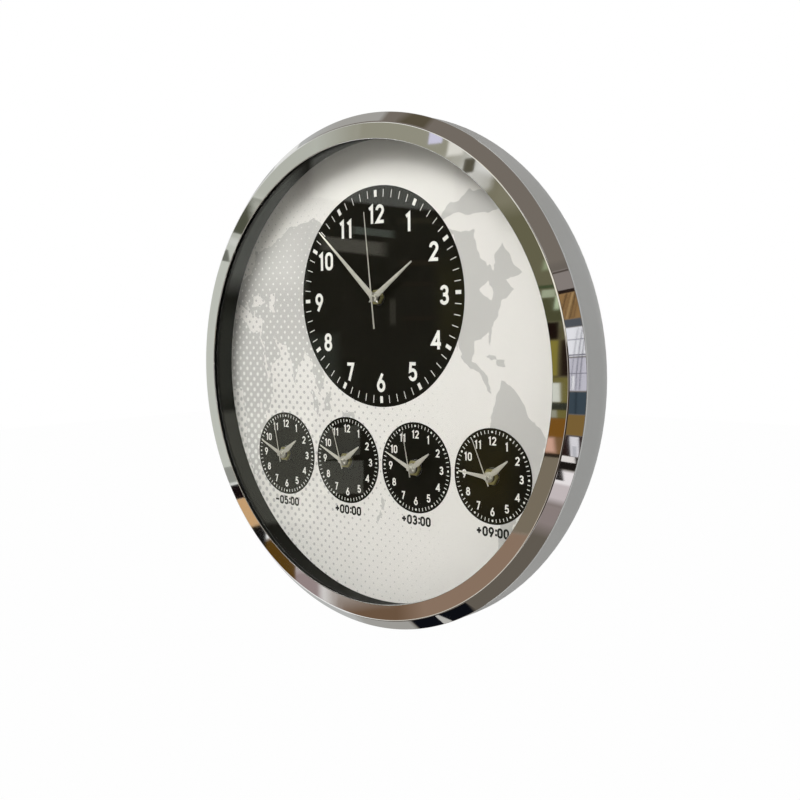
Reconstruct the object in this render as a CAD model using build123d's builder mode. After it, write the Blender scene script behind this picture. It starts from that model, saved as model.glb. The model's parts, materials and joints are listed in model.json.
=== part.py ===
"""Round wall clock with one large and four small time dials, each with its own quartz movement.

Millimetres. The origin is the centre of the flat rear rim, on the wall plane. +Z is up, +X is to the right as
seen from the front, and the dial faces -Y, so depths grow towards the wall.
"""

import math
import os

from build123d import *

# Case
case_diameter = 400.0
bevel_width = 8.4
face_width = 12.6
side_taper = 6.2
dial_flare = 3.7
dial_setback = 24.2
front_drop = 0.8
bevel_depth = 8.9
rim_width = 1.3
crest_round = 0.7
lip_round = 0.5
bezel_skin = 2.4
lip_thickness = 2.2
pocket_rib = 2.0
pocket_gap = 0.3
seam_step = 0.5
side_wall = 2.6
side_turn_gap = 0.8
ledge_thickness = 2.5
ledge_overlap = 2.5
inner_ring_edge = 1.3
inner_ring_setback = 0.4

# Glass, gasket and dial
glass_thickness = 2.5
gasket_thickness = 1.0
sheet_thickness = 0.3
board_thickness = 2.0

# Case screws
case_screw_count = 8
screw_radius = 1.3
screw_length = 16.0
screw_head_radius = 2.6
screw_head_height = 1.8
screw_recess = 0.5
screw_recess_length = 3.38
boss_radius = 3.0
boss_gap = 0.4
thread_gap = 0.05
hole_gap = 0.25

# Wall hanger
hanger_screw_spacing = 34.0
hanger_thickness = 1.2
hanger_setback = 4.3
hanger_margin = 4.5
hanger_corner = 3.0
hanger_screw_length = 7.0
keyhole_radius = 5.0
keyhole_slot_radius = 2.4
keyhole_travel = 8.0
keyhole_drop = 9.0

# Time dials
main_dial_rise = 60.0
zone_dial_drop = 72.1
zone_side_margin = 71.4
rest_times = {
    "main": (1, 52, 59),
    "zone1": (1, 49, 58),
    "zone2": (1, 49, 57),
    "zone3": (1, 49, 58),
    "zone4": (1, 46, 56),
}

# Movement housing
rear_margin = 1.0
housing_wall = 1.2
housing_corner = 2.0
floor_thickness = 1.2
cover_thickness = 1.2
train_room_above = 26.8
train_room_below = 10.0
bush_radius = 3.95
bush_proud = 0.6
bush_hole_gap = 0.2
rubber_thickness = 0.5
rubber_radius = 9.0
washer_thickness = 0.5
washer_radius = 6.4
nut_thickness = 2.2
nut_width = 11.0

# Cell and contacts
cell_diameter = 14.2
cell_length = 50.5
cell_nub_radius = 2.75
cell_nub_length = 1.0
cell_gap = 0.2
contact_thickness = 0.4
contact_reach = 1.15
contact_width = 8.0
dimple_radius = 2.0

# Electrical pieces
post_height = 5.0
post_radius = 1.2
post_inset = 2.4
circuit_thickness = 0.8
circuit_width = 9.0
circuit_height = 30.0
circuit_gap = 0.8
coil_height = 18.0
coil_winding_radius = 3.0
coil_flange = 1.2
stator_thickness = 0.6
stator_gap = 0.5
stator_bar = 4.0

# Wheels and arbors
wheel_thickness = 0.9
wheel_gap = 0.5
running_gap = 0.06
bearing_length = 3.3
boss_wall = 1.0
boss_skin = 0.5
train_arbor_radius = 0.5
second_arbor_radius = 0.55
minute_tube_wall = 1.0
hour_tube_wall = 0.9
spigot_wall = 0.6
magnet_radius = 3.0
magnet_length = 3.3
motion_module = 0.5
train_module = 0.25
tooth_share = 0.35
tooth_addendum = 0.7
tooth_dedendum = 1.1
tooth_flank = 20.0
cannon_teeth = 10
motion_wheel_teeth = 30
motion_pinion_teeth = 8
hour_wheel_teeth = 32
rotor_pinion_teeth = 8
fifth_wheel_teeth = 48
fifth_pinion_teeth = 10
second_wheel_teeth = 50
second_pinion_teeth = 8
third_wheel_teeth = 60
third_pinion_teeth = 8
centre_wheel_teeth = 64
motion_bearing = 45.0
third_bearing = 135.0
fifth_bearing = 200.0
rotor_bearing = 180.0

# Setting knob
knob_radius = 5.0
knob_length = 4.0
knob_proud = 0.5
knob_groove_radius = 0.5
knob_groove_count = 20
knob_arbor_radius = 1.1
pivot_radius = 0.6
pivot_skin = 0.4
well_gap = 0.6
well_wall = 1.0

# Hands
hand_gap = 0.5
hub_length = 1.3
hub_wall = 1.0
press_gap = 0.01
blade_thickness = 0.5
blade_edge = 0.25
cap_thickness = 0.4
main_hour_length = 47.0
main_hour_width = 5.2
main_hour_tip = 1.2
main_minute_length = 80.0
main_minute_width = 5.0
main_minute_tip = 0.8
main_hand_tail = 7.0
main_second_length = 66.5
main_second_tail = 25.0
main_second_width = 1.3
main_second_tip = 0.65
zone_hour_length = 21.5
zone_hour_root = 2.3
zone_hour_width = 4.6
zone_hour_shoulder = 7.8
zone_hour_tip = 0.9
zone_hour_boss = 3.9
zone_minute_length = 26.5
zone_minute_width = 3.6
zone_minute_tip = 0.9
zone_hand_tail = 4.0
zone_second_length = 29.0
zone_second_tail = 6.5
zone_second_width = 0.9
zone_second_tip = 0.45
tail_tip = 0.6

# Places worked out from the sizes above: diameters and radii of the case
crest_diameter = case_diameter - 2 * bevel_width
opening_diameter = crest_diameter - 2 * face_width
rear_diameter = case_diameter - 2 * side_taper
dial_diameter = opening_diameter + 2 * dial_flare
case_radius = case_diameter / 2
opening_radius = opening_diameter / 2
crest_radius = crest_diameter / 2
rear_radius = rear_diameter / 2
side_radius = case_radius - seam_step
side_bore = side_radius - side_wall
rear_bore = rear_radius - side_wall
dial_radius = dial_diameter / 2
seat_radius = dial_radius + inner_ring_edge
pocket_radius = seat_radius + pocket_gap
ledge_radius = seat_radius - ledge_overlap
screw_circle = seat_radius + boss_gap + boss_radius
screw_start = 180.0 / case_screw_count

# Coaxial radii of the hand shafts
cannon_bore = second_arbor_radius + running_gap
minute_tube_radius = cannon_bore + minute_tube_wall
hour_tube_bore = minute_tube_radius + running_gap
hour_tube_radius = hour_tube_bore + hour_tube_wall
bush_bore = hour_tube_radius + running_gap
spigot_radius = cannon_bore + spigot_wall
bush_hole_radius = bush_radius + bush_hole_gap

# Centre distances and axes of the wheels, measured from the hand shaft as (x, z)
motion_distance = motion_module * (cannon_teeth + motion_wheel_teeth) / 2
hour_module = 2 * motion_distance / (motion_pinion_teeth + hour_wheel_teeth)
third_distance = train_module * (second_pinion_teeth + third_wheel_teeth) / 2
centre_module = 2 * third_distance / (third_pinion_teeth + centre_wheel_teeth)
fifth_distance = train_module * (fifth_pinion_teeth + second_wheel_teeth) / 2
rotor_distance = train_module * (rotor_pinion_teeth + fifth_wheel_teeth) / 2


def along(distance, bearing):
    """Return the (x, z) step of a distance along a bearing, counted from +X towards +Z."""
    turn = math.radians(bearing)
    return distance * math.cos(turn), distance * math.sin(turn)


motion_x, motion_z = along(motion_distance, motion_bearing)
third_x, third_z = along(third_distance, third_bearing)
fifth_x, fifth_z = along(fifth_distance, fifth_bearing)
rotor_x, rotor_z = (a + b for a, b in zip((fifth_x, fifth_z), along(rotor_distance, rotor_bearing)))

# Depths inside a movement, counted from the inner face of its floor towards the wall
hour_level = wheel_gap
cannon_level = hour_level + wheel_thickness + wheel_gap
centre_level = cannon_level + wheel_thickness + wheel_gap
second_level = centre_level + wheel_thickness + wheel_gap
third_level = second_level + wheel_thickness + wheel_gap
stator_level = third_level + wheel_thickness + wheel_gap
fifth_level = stator_level + stator_thickness + wheel_gap
bearing_level = fifth_level + wheel_thickness + wheel_gap
train_depth = bearing_level + bearing_length
cell_depth = cell_diameter + 2 * cell_gap - cover_thickness
cover_level = max(train_depth, cell_depth)

# Depths of the whole clock, from the wall plane forwards
cover_back_y = -rear_margin
cover_y = cover_back_y - cover_thickness
floor_back_y = cover_y - cover_level
floor_y = floor_back_y - floor_thickness
board_back_y = floor_y - rubber_thickness
board_y = board_back_y - board_thickness
dial_y = board_y - sheet_thickness
front_y = dial_y - dial_setback
crest_y = front_y + front_drop
bevel_back_y = crest_y + bevel_depth
rim_back_y = bevel_back_y + rim_width
glass_y = front_y + lip_thickness
gasket_y = glass_y + glass_thickness
inner_ring_y = gasket_y + gasket_thickness
ledge_back_y = board_back_y + ledge_thickness
side_turn_y = ledge_back_y + side_turn_gap
hanger_back_y = -hanger_setback
hanger_y = hanger_back_y - hanger_thickness
bezel_inner_y = crest_y + bezel_skin
washer_y = dial_y - washer_thickness
nut_y = washer_y - nut_thickness
bush_y = nut_y - bush_proud
hour_hub_y = bush_y - hand_gap - hub_length
minute_hub_y = hour_hub_y - hand_gap - hub_length
second_hub_y = minute_hub_y - hand_gap - hub_length

# Housing outline, measured from the hand shaft
bay_half_length = cell_length / 2 + contact_reach + contact_thickness
housing_half_width = bay_half_length + housing_wall
bay_top_z = -train_room_below - housing_wall
bay_bottom_z = bay_top_z - cell_diameter - 2 * cell_gap
housing_top_z = train_room_above + housing_wall
housing_bottom_z = bay_bottom_z - housing_wall
cell_y = floor_back_y + cell_gap + cell_diameter / 2
cell_z = (bay_top_z + bay_bottom_z) / 2

# Knob, coil and circuit board
knob_back_y = cover_back_y + knob_proud
knob_y = knob_back_y - knob_length
well_radius = knob_radius + well_gap
well_floor_y = knob_y - wheel_gap - well_wall
coil_width = stator_level
coil_x = coil_width / 2 + circuit_gap - bay_half_length
coil_top_z = train_room_above - stator_bar
coil_z = coil_top_z - coil_height
circuit_x = bay_half_length - circuit_gap - circuit_width / 2
circuit_z = train_room_above - circuit_gap - circuit_height / 2
circuit_y = floor_back_y + post_height
post_spacing = circuit_height - 2 * post_inset

# Hanger places
hanger_screw_x = hanger_screw_spacing / 2
hanger_circle = (ledge_radius + screw_circle + boss_radius) / 2
hanger_z = math.sqrt(hanger_circle**2 - hanger_screw_x**2)
hanger_width = hanger_screw_spacing + 2 * hanger_margin
hanger_top_z = hanger_z + hanger_margin
slot_top_z = hanger_z - keyhole_drop
keyhole_z = slot_top_z - keyhole_travel
hanger_bottom_z = keyhole_z - keyhole_radius - hanger_margin
hanger_places = ((-hanger_screw_x, hanger_z), (hanger_screw_x, hanger_z))

# Shafts of the main dial and of the four zone dials, which stand evenly between the side margins
zone_spacing = 2 * (dial_radius - zone_side_margin) / 3
movement_centres = {"main": (0.0, main_dial_rise)}
for zone in range(4):
    movement_centres[f"zone{zone + 1}"] = ((zone - 1.5) * zone_spacing, -zone_dial_drop)
movement_places = [(x, 0, z) for x, z in movement_centres.values()]
shaft_points = list(movement_centres.values())


def facing(y, x=0.0, z=0.0):
    """Return the plane at depth y that faces the viewer, with X to the right and Z up."""
    return Plane(origin=(x, y, z), x_dir=(1, 0, 0), z_dir=(0, -1, 0))


def gear_outline(teeth, module, turn):
    """Draw a toothed disc with straight-sided teeth, one of them centred on the angle turn."""
    pitch_radius = module * teeth / 2
    tip_radius = pitch_radius + tooth_addendum * module
    root_radius = pitch_radius - tooth_dedendum * module
    half_width = tooth_share * math.pi * module / 2
    slope = math.tan(math.radians(tooth_flank))
    half_tip = math.degrees((half_width - tooth_addendum * module * slope) / tip_radius)
    half_root = math.degrees((half_width + tooth_dedendum * module * slope) / root_radius)
    corners = []
    for tooth in range(teeth):
        middle = turn + 360.0 * tooth / teeth
        corners.append(along(root_radius, middle - half_root))
        corners.append(along(tip_radius, middle - half_tip))
        corners.append(along(tip_radius, middle + half_tip))
        corners.append(along(root_radius, middle + half_root))
    with BuildSketch() as outline:
        with BuildLine():
            Polyline(*corners, close=True)
        make_face()
    return outline.sketch


def driven_turn(bearing, teeth):
    """Return the turn that puts a tooth gap of the driven wheel opposite the driver's tooth."""
    return bearing + 180.0 + 180.0 / teeth


def save(piece, name):
    """Label a finished piece and write it as a node."""
    piece.part.label = name
    export_step(piece.part, f"parts/{name}.step")


def save_group(piece, name):
    """Write one piece per movement as one node."""
    with BuildPart() as group:
        with Locations(*movement_places):
            add(piece.part)
    save(group, name)


def tapered_hand(x, z, angle, back_y, stations, hub_radius, bore_radius, cap=0.0):
    """Build a hand with a creased blade through (distance, width) stations and a drilled hub.

    The blade lies at the front of the hub, the angle is clockwise from twelve, and a cap closes the bore.
    """
    turn = math.radians(angle)
    pointing = Vector(math.sin(turn), 0, math.cos(turn))
    across = Vector(math.cos(turn), 0, -math.sin(turn))
    blade_back_y = back_y - (hub_length - blade_thickness)
    with BuildPart() as hand:
        for distance, width in stations:
            origin = Vector(x, blade_back_y, z) + pointing * distance
            with BuildSketch(Plane(origin=origin, x_dir=across, z_dir=pointing)):
                with BuildLine():
                    Polyline(
                        (-width / 2, 0),
                        (width / 2, 0),
                        (width / 2, -blade_edge),
                        (0, -blade_thickness),
                        (-width / 2, -blade_edge),
                        close=True,
                    )
                make_face()
        loft(ruled=True)
        with BuildSketch(facing(back_y, x, z)):
            Circle(hub_radius)
        extrude(amount=hub_length + cap)
        with BuildSketch(facing(back_y, x, z)):
            Circle(bore_radius)
        extrude(amount=hub_length, mode=Mode.SUBTRACT)
    return hand


os.makedirs("parts", exist_ok=True)

# Chromed bezel: flat front ring, bevel, rim, pocket for the glass and screw bosses
with BuildPart() as bezel_ring:
    with BuildSketch() as bezel_section:
        with BuildLine():
            Polyline(
                (opening_radius, front_y),
                (crest_radius, crest_y),
                (case_radius, bevel_back_y),
                (case_radius, rim_back_y),
                (case_radius - bezel_skin, rim_back_y),
                (case_radius - bezel_skin, bevel_back_y),
                (crest_radius - bezel_skin / 2, bezel_inner_y),
                (pocket_radius + pocket_rib, bezel_inner_y),
                (pocket_radius + pocket_rib, rim_back_y),
                (pocket_radius, rim_back_y),
                (pocket_radius, glass_y),
                (opening_radius, glass_y),
                close=True,
            )
        make_face()
        fillet(bezel_section.vertices().sort_by_distance((crest_radius, crest_y))[0], crest_round)
        fillet(bezel_section.vertices().sort_by_distance((opening_radius, front_y))[0], lip_round)
    revolve(axis=Axis.Y)
    with BuildSketch(facing(board_back_y - hole_gap)):
        with PolarLocations(screw_circle, case_screw_count, screw_start):
            Circle(boss_radius)
    extrude(amount=board_back_y - hole_gap - bezel_inner_y)
    with BuildSketch(facing(board_back_y - hole_gap)):
        with PolarLocations(screw_circle, case_screw_count, screw_start):
            Circle(screw_radius + thread_gap)
    extrude(amount=screw_length, mode=Mode.SUBTRACT)
save(bezel_ring, "bezel_ring")

# Glass in the pocket, and the soft ring behind it
with BuildPart() as lens_glass:
    with BuildSketch(facing(gasket_y)):
        Circle(seat_radius)
    extrude(amount=glass_thickness)
save(lens_glass, "lens_glass")

with BuildPart() as lens_gasket:
    with BuildSketch(facing(inner_ring_y)):
        Circle(seat_radius)
        Circle(opening_radius + inner_ring_setback, mode=Mode.SUBTRACT)
    extrude(amount=gasket_thickness)
save(lens_gasket, "lens_gasket")

# Black inner ring, widening towards the dial
with BuildPart() as inner_ring:
    with BuildSketch():
        with BuildLine():
            Polyline(
                (opening_radius + inner_ring_setback, inner_ring_y),
                (seat_radius, inner_ring_y),
                (seat_radius, dial_y),
                (dial_radius, dial_y),
                close=True,
            )
        make_face()
    revolve(axis=Axis.Y)
save(inner_ring, "inner_ring")

# Printed dial and the board behind it, with a hole for every threaded bush
with BuildPart() as dial_sheet:
    with BuildSketch(facing(board_y)):
        Circle(seat_radius)
        with Locations(*shaft_points):
            Circle(bush_hole_radius, mode=Mode.SUBTRACT)
    extrude(amount=sheet_thickness)
save(dial_sheet, "dial_sheet")

with BuildPart() as dial_board:
    with BuildSketch(facing(board_back_y)):
        Circle(seat_radius)
        with Locations(*shaft_points):
            Circle(bush_hole_radius, mode=Mode.SUBTRACT)
    extrude(amount=board_thickness)
save(dial_board, "dial_board")

# Silver side with a rounded back edge, the ledge that clamps the board and the posts of the hanger
with BuildPart() as case_ring:
    with BuildSketch():
        with BuildLine():
            TangentArc((side_radius, side_turn_y), (rear_radius, 0), tangent=(0, 1))
            Line((rear_radius, 0), (rear_bore, 0))
            TangentArc((side_bore, side_turn_y), (rear_bore, 0), tangent=(0, 1))
            Polyline(
                (side_bore, side_turn_y),
                (side_bore, ledge_back_y),
                (ledge_radius, ledge_back_y),
                (ledge_radius, board_back_y),
                (side_bore, board_back_y),
                (side_bore, rim_back_y),
                (side_radius, rim_back_y),
                (side_radius, side_turn_y),
            )
        make_face()
    revolve(axis=Axis.Y)
    with BuildSketch(facing(ledge_back_y)):
        with PolarLocations(screw_circle, case_screw_count, screw_start):
            Circle(screw_radius + hole_gap)
    extrude(amount=ledge_thickness, mode=Mode.SUBTRACT)
    with BuildSketch(facing(hanger_y)):
        with Locations(*hanger_places):
            Circle(boss_radius)
    extrude(amount=hanger_y - ledge_back_y)
    with BuildSketch(facing(hanger_y)):
        with Locations(*hanger_places):
            Circle(screw_radius + thread_gap)
    extrude(amount=hanger_screw_length, mode=Mode.SUBTRACT)
save(case_ring, "case_ring")

# Screws of the case and of the hanger, with pan heads and a cross recess
with BuildPart() as case_screws:
    with BuildSketch(facing(ledge_back_y + screw_head_height)):
        with PolarLocations(screw_circle, case_screw_count, screw_start):
            Circle(screw_head_radius)
    extrude(amount=screw_head_height)
    with BuildSketch(facing(ledge_back_y)):
        with PolarLocations(screw_circle, case_screw_count, screw_start):
            Circle(screw_radius)
    extrude(amount=screw_length)
    with BuildSketch(facing(ledge_back_y + screw_head_height)):
        with PolarLocations(screw_circle, case_screw_count, screw_start):
            Rectangle(screw_recess_length, screw_recess)
            Rectangle(screw_recess, screw_recess_length)
    extrude(amount=screw_head_height / 2, mode=Mode.SUBTRACT)
save(case_screws, "case_screws")

with BuildPart() as hanger_screws:
    with BuildSketch(facing(hanger_back_y + screw_head_height)):
        with Locations(*hanger_places):
            Circle(screw_head_radius)
    extrude(amount=screw_head_height)
    with BuildSketch(facing(hanger_back_y)):
        with Locations(*hanger_places):
            Circle(screw_radius)
    extrude(amount=hanger_thickness + hanger_screw_length - hole_gap)
    with BuildSketch(facing(hanger_back_y + screw_head_height)):
        with Locations(*hanger_places):
            Rectangle(screw_recess_length, screw_recess)
            Rectangle(screw_recess, screw_recess_length)
    extrude(amount=screw_head_height / 2, mode=Mode.SUBTRACT)
save(hanger_screws, "hanger_screws")

# Steel hanger plate with its keyhole
with BuildPart() as wall_hanger:
    plate_height = hanger_top_z - hanger_bottom_z
    with BuildSketch(facing(hanger_back_y)):
        with Locations((0, hanger_top_z - plate_height / 2)):
            RectangleRounded(hanger_width, plate_height, hanger_corner)
        with Locations(*hanger_places):
            Circle(screw_radius + hole_gap, mode=Mode.SUBTRACT)
        with Locations((0, keyhole_z)):
            Circle(keyhole_radius, mode=Mode.SUBTRACT)
        with Locations((0, keyhole_z + keyhole_travel / 2)):
            SlotCenterToCenter(keyhole_travel, 2 * keyhole_slot_radius, rotation=90, mode=Mode.SUBTRACT)
    extrude(amount=hanger_thickness)
save(wall_hanger, "wall_hanger")

# Movement housing: floor, threaded bush, walls, cell bay, circuit posts and the knob's front bearing
housing_height = housing_top_z - housing_bottom_z
housing_middle_z = (housing_top_z + housing_bottom_z) / 2
with BuildPart() as movement_housing:
    with BuildSketch(facing(cover_y)):
        with Locations((0, housing_middle_z)):
            RectangleRounded(2 * housing_half_width, housing_height, housing_corner)
    extrude(amount=cover_y - floor_y)
    with BuildSketch(facing(cover_y)):
        with Locations((0, (train_room_above - train_room_below) / 2)):
            Rectangle(2 * bay_half_length, train_room_above + train_room_below)
        with Locations((0, cell_z)):
            Rectangle(2 * bay_half_length, bay_top_z - bay_bottom_z)
    extrude(amount=cover_level, mode=Mode.SUBTRACT)
    with BuildSketch(facing(floor_y)):
        Circle(bush_radius)
    extrude(amount=floor_y - bush_y)
    with BuildSketch(facing(floor_back_y)):
        Circle(bush_bore)
    extrude(amount=floor_back_y - bush_y, mode=Mode.SUBTRACT)
    with BuildSketch(facing(circuit_y)):
        with Locations((circuit_x, circuit_z)):
            with GridLocations(0, post_spacing, 1, 2):
                Circle(post_radius)
    extrude(amount=post_height)
    with BuildSketch(facing(floor_back_y)):
        with Locations((motion_x, motion_z)):
            Circle(pivot_radius + running_gap)
    extrude(amount=floor_thickness - pivot_skin, mode=Mode.SUBTRACT)
save_group(movement_housing, "movement_housings")

# Movement cover: plate, knob well and the bearing bosses of the second, third and fifth wheels and the rotor
cover_height = housing_top_z - bay_top_z
bearing_points = (
    ((0.0, 0.0), second_arbor_radius + running_gap),
    ((third_x, third_z), train_arbor_radius + running_gap),
    ((fifth_x, fifth_z), train_arbor_radius + running_gap),
    ((rotor_x, rotor_z), train_arbor_radius + running_gap),
)
with BuildPart() as movement_cover:
    with BuildSketch(facing(cover_back_y)):
        with Locations((0, bay_top_z + cover_height / 2)):
            RectangleRounded(2 * housing_half_width, cover_height, housing_corner)
    extrude(amount=cover_thickness)
    with BuildSketch(facing(cover_y)):
        with Locations((motion_x, motion_z)):
            Circle(well_radius + well_wall)
    extrude(amount=cover_y - well_floor_y)
    with BuildSketch(facing(cover_back_y)):
        with Locations((motion_x, motion_z)):
            Circle(well_radius)
    extrude(amount=cover_back_y - well_floor_y - well_wall, mode=Mode.SUBTRACT)
    with BuildSketch(facing(cover_back_y)):
        with Locations((motion_x, motion_z)):
            Circle(knob_arbor_radius + running_gap)
    extrude(amount=cover_back_y - well_floor_y, mode=Mode.SUBTRACT)
    with BuildSketch(facing(cover_y)):
        for point, bore in bearing_points:
            with Locations(point):
                Circle(bore + boss_wall)
    extrude(amount=cover_level - bearing_level)
    with BuildSketch(facing(floor_back_y + bearing_level)):
        for point, bore in bearing_points:
            with Locations(point):
                Circle(bore)
    extrude(amount=boss_skin - (cover_level - bearing_level), mode=Mode.SUBTRACT)
save_group(movement_cover, "movement_covers")

# What clamps each movement on the board: rubber washer behind, brass washer and nut in front
with BuildPart() as rubber_washer:
    with BuildSketch(facing(floor_y)):
        Circle(rubber_radius)
        Circle(bush_hole_radius, mode=Mode.SUBTRACT)
    extrude(amount=rubber_thickness)
save_group(rubber_washer, "rubber_washers")

with BuildPart() as fixing_washer:
    with BuildSketch(facing(dial_y)):
        Circle(washer_radius)
        Circle(bush_hole_radius, mode=Mode.SUBTRACT)
    extrude(amount=washer_thickness)
save_group(fixing_washer, "fixing_washers")

with BuildPart() as fixing_nut:
    with BuildSketch(facing(washer_y)):
        RegularPolygon(nut_width / 2, 6, major_radius=False)
        Circle(bush_radius + thread_gap, mode=Mode.SUBTRACT)
    extrude(amount=nut_thickness)
save_group(fixing_nut, "fixing_nuts")

# Cell, lying across the bay with its nub to the right, and its two leaf contacts
cell_end = cell_length / 2
with BuildPart() as battery:
    with BuildSketch(Plane.YZ.offset(-cell_end)):
        with Locations((cell_y, cell_z)):
            Circle(cell_diameter / 2)
    extrude(amount=cell_length - cell_nub_length)
    with BuildSketch(Plane.YZ.offset(cell_end - cell_nub_length)):
        with Locations((cell_y, cell_z)):
            Circle(cell_nub_radius)
    extrude(amount=cell_nub_length)
save_group(battery, "batteries")

contact_height = cover_y - floor_back_y - 2 * contact_thickness
contact_y = (cover_y + floor_back_y) / 2
with BuildPart() as battery_contact:
    with BuildSketch(Plane.YZ.offset(-bay_half_length), Plane.YZ.offset(bay_half_length - contact_thickness)):
        with Locations((contact_y, cell_z)):
            Rectangle(contact_height, contact_width)
    extrude(amount=contact_thickness)
    with BuildSketch(Plane.YZ.offset(-cell_end - contact_reach), Plane.YZ.offset(cell_end)):
        with Locations((cell_y, cell_z)):
            Circle(dimple_radius)
    extrude(amount=contact_reach)
save_group(battery_contact, "battery_contacts")

# Circuit board on its posts, drive coil on the floor and the stator that lies on it
with BuildPart() as circuit_board:
    with BuildSketch(facing(circuit_y + circuit_thickness)):
        with Locations((circuit_x, circuit_z)):
            Rectangle(circuit_width, circuit_height)
    extrude(amount=circuit_thickness)
save_group(circuit_board, "circuit_boards")

coil_y = floor_back_y + coil_width / 2
with BuildPart() as drive_coil:
    with BuildSketch(Plane.XY.offset(coil_z)):
        with Locations((coil_x, coil_y)):
            Circle(coil_winding_radius)
    extrude(amount=coil_height)
    with BuildSketch(Plane.XY.offset(coil_z), Plane.XY.offset(coil_top_z - coil_flange)):
        with Locations((coil_x, coil_y)):
            Rectangle(coil_width, coil_width)
    extrude(amount=coil_flange)
save_group(drive_coil, "drive_coils")

stator_hole_radius = magnet_radius + stator_gap
stator_left = coil_x - coil_width / 2
stator_right = rotor_x + stator_hole_radius + stator_gap
stator_bottom = rotor_z - stator_hole_radius - stator_gap
foot_top = rotor_z + stator_hole_radius + stator_gap
with BuildPart() as stator:
    with BuildSketch(facing(floor_back_y + stator_level + stator_thickness)):
        with Locations((stator_left, stator_bottom)):
            Rectangle(stator_right - stator_left, foot_top - stator_bottom, align=Align.MIN)
        with Locations((stator_right, stator_bottom)):
            Rectangle(stator_bar, coil_top_z - stator_bottom, align=(Align.MAX, Align.MIN))
        with Locations((stator_right, coil_top_z)):
            Rectangle(stator_right - stator_left, stator_bar, align=Align.MAX)
        with Locations((stator_left, foot_top)):
            Rectangle(stator_bar, coil_z + coil_flange - foot_top, align=Align.MIN)
        with Locations((rotor_x, rotor_z)):
            Circle(stator_hole_radius, mode=Mode.SUBTRACT)
    extrude(amount=stator_thickness)
save_group(stator, "stators")

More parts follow.
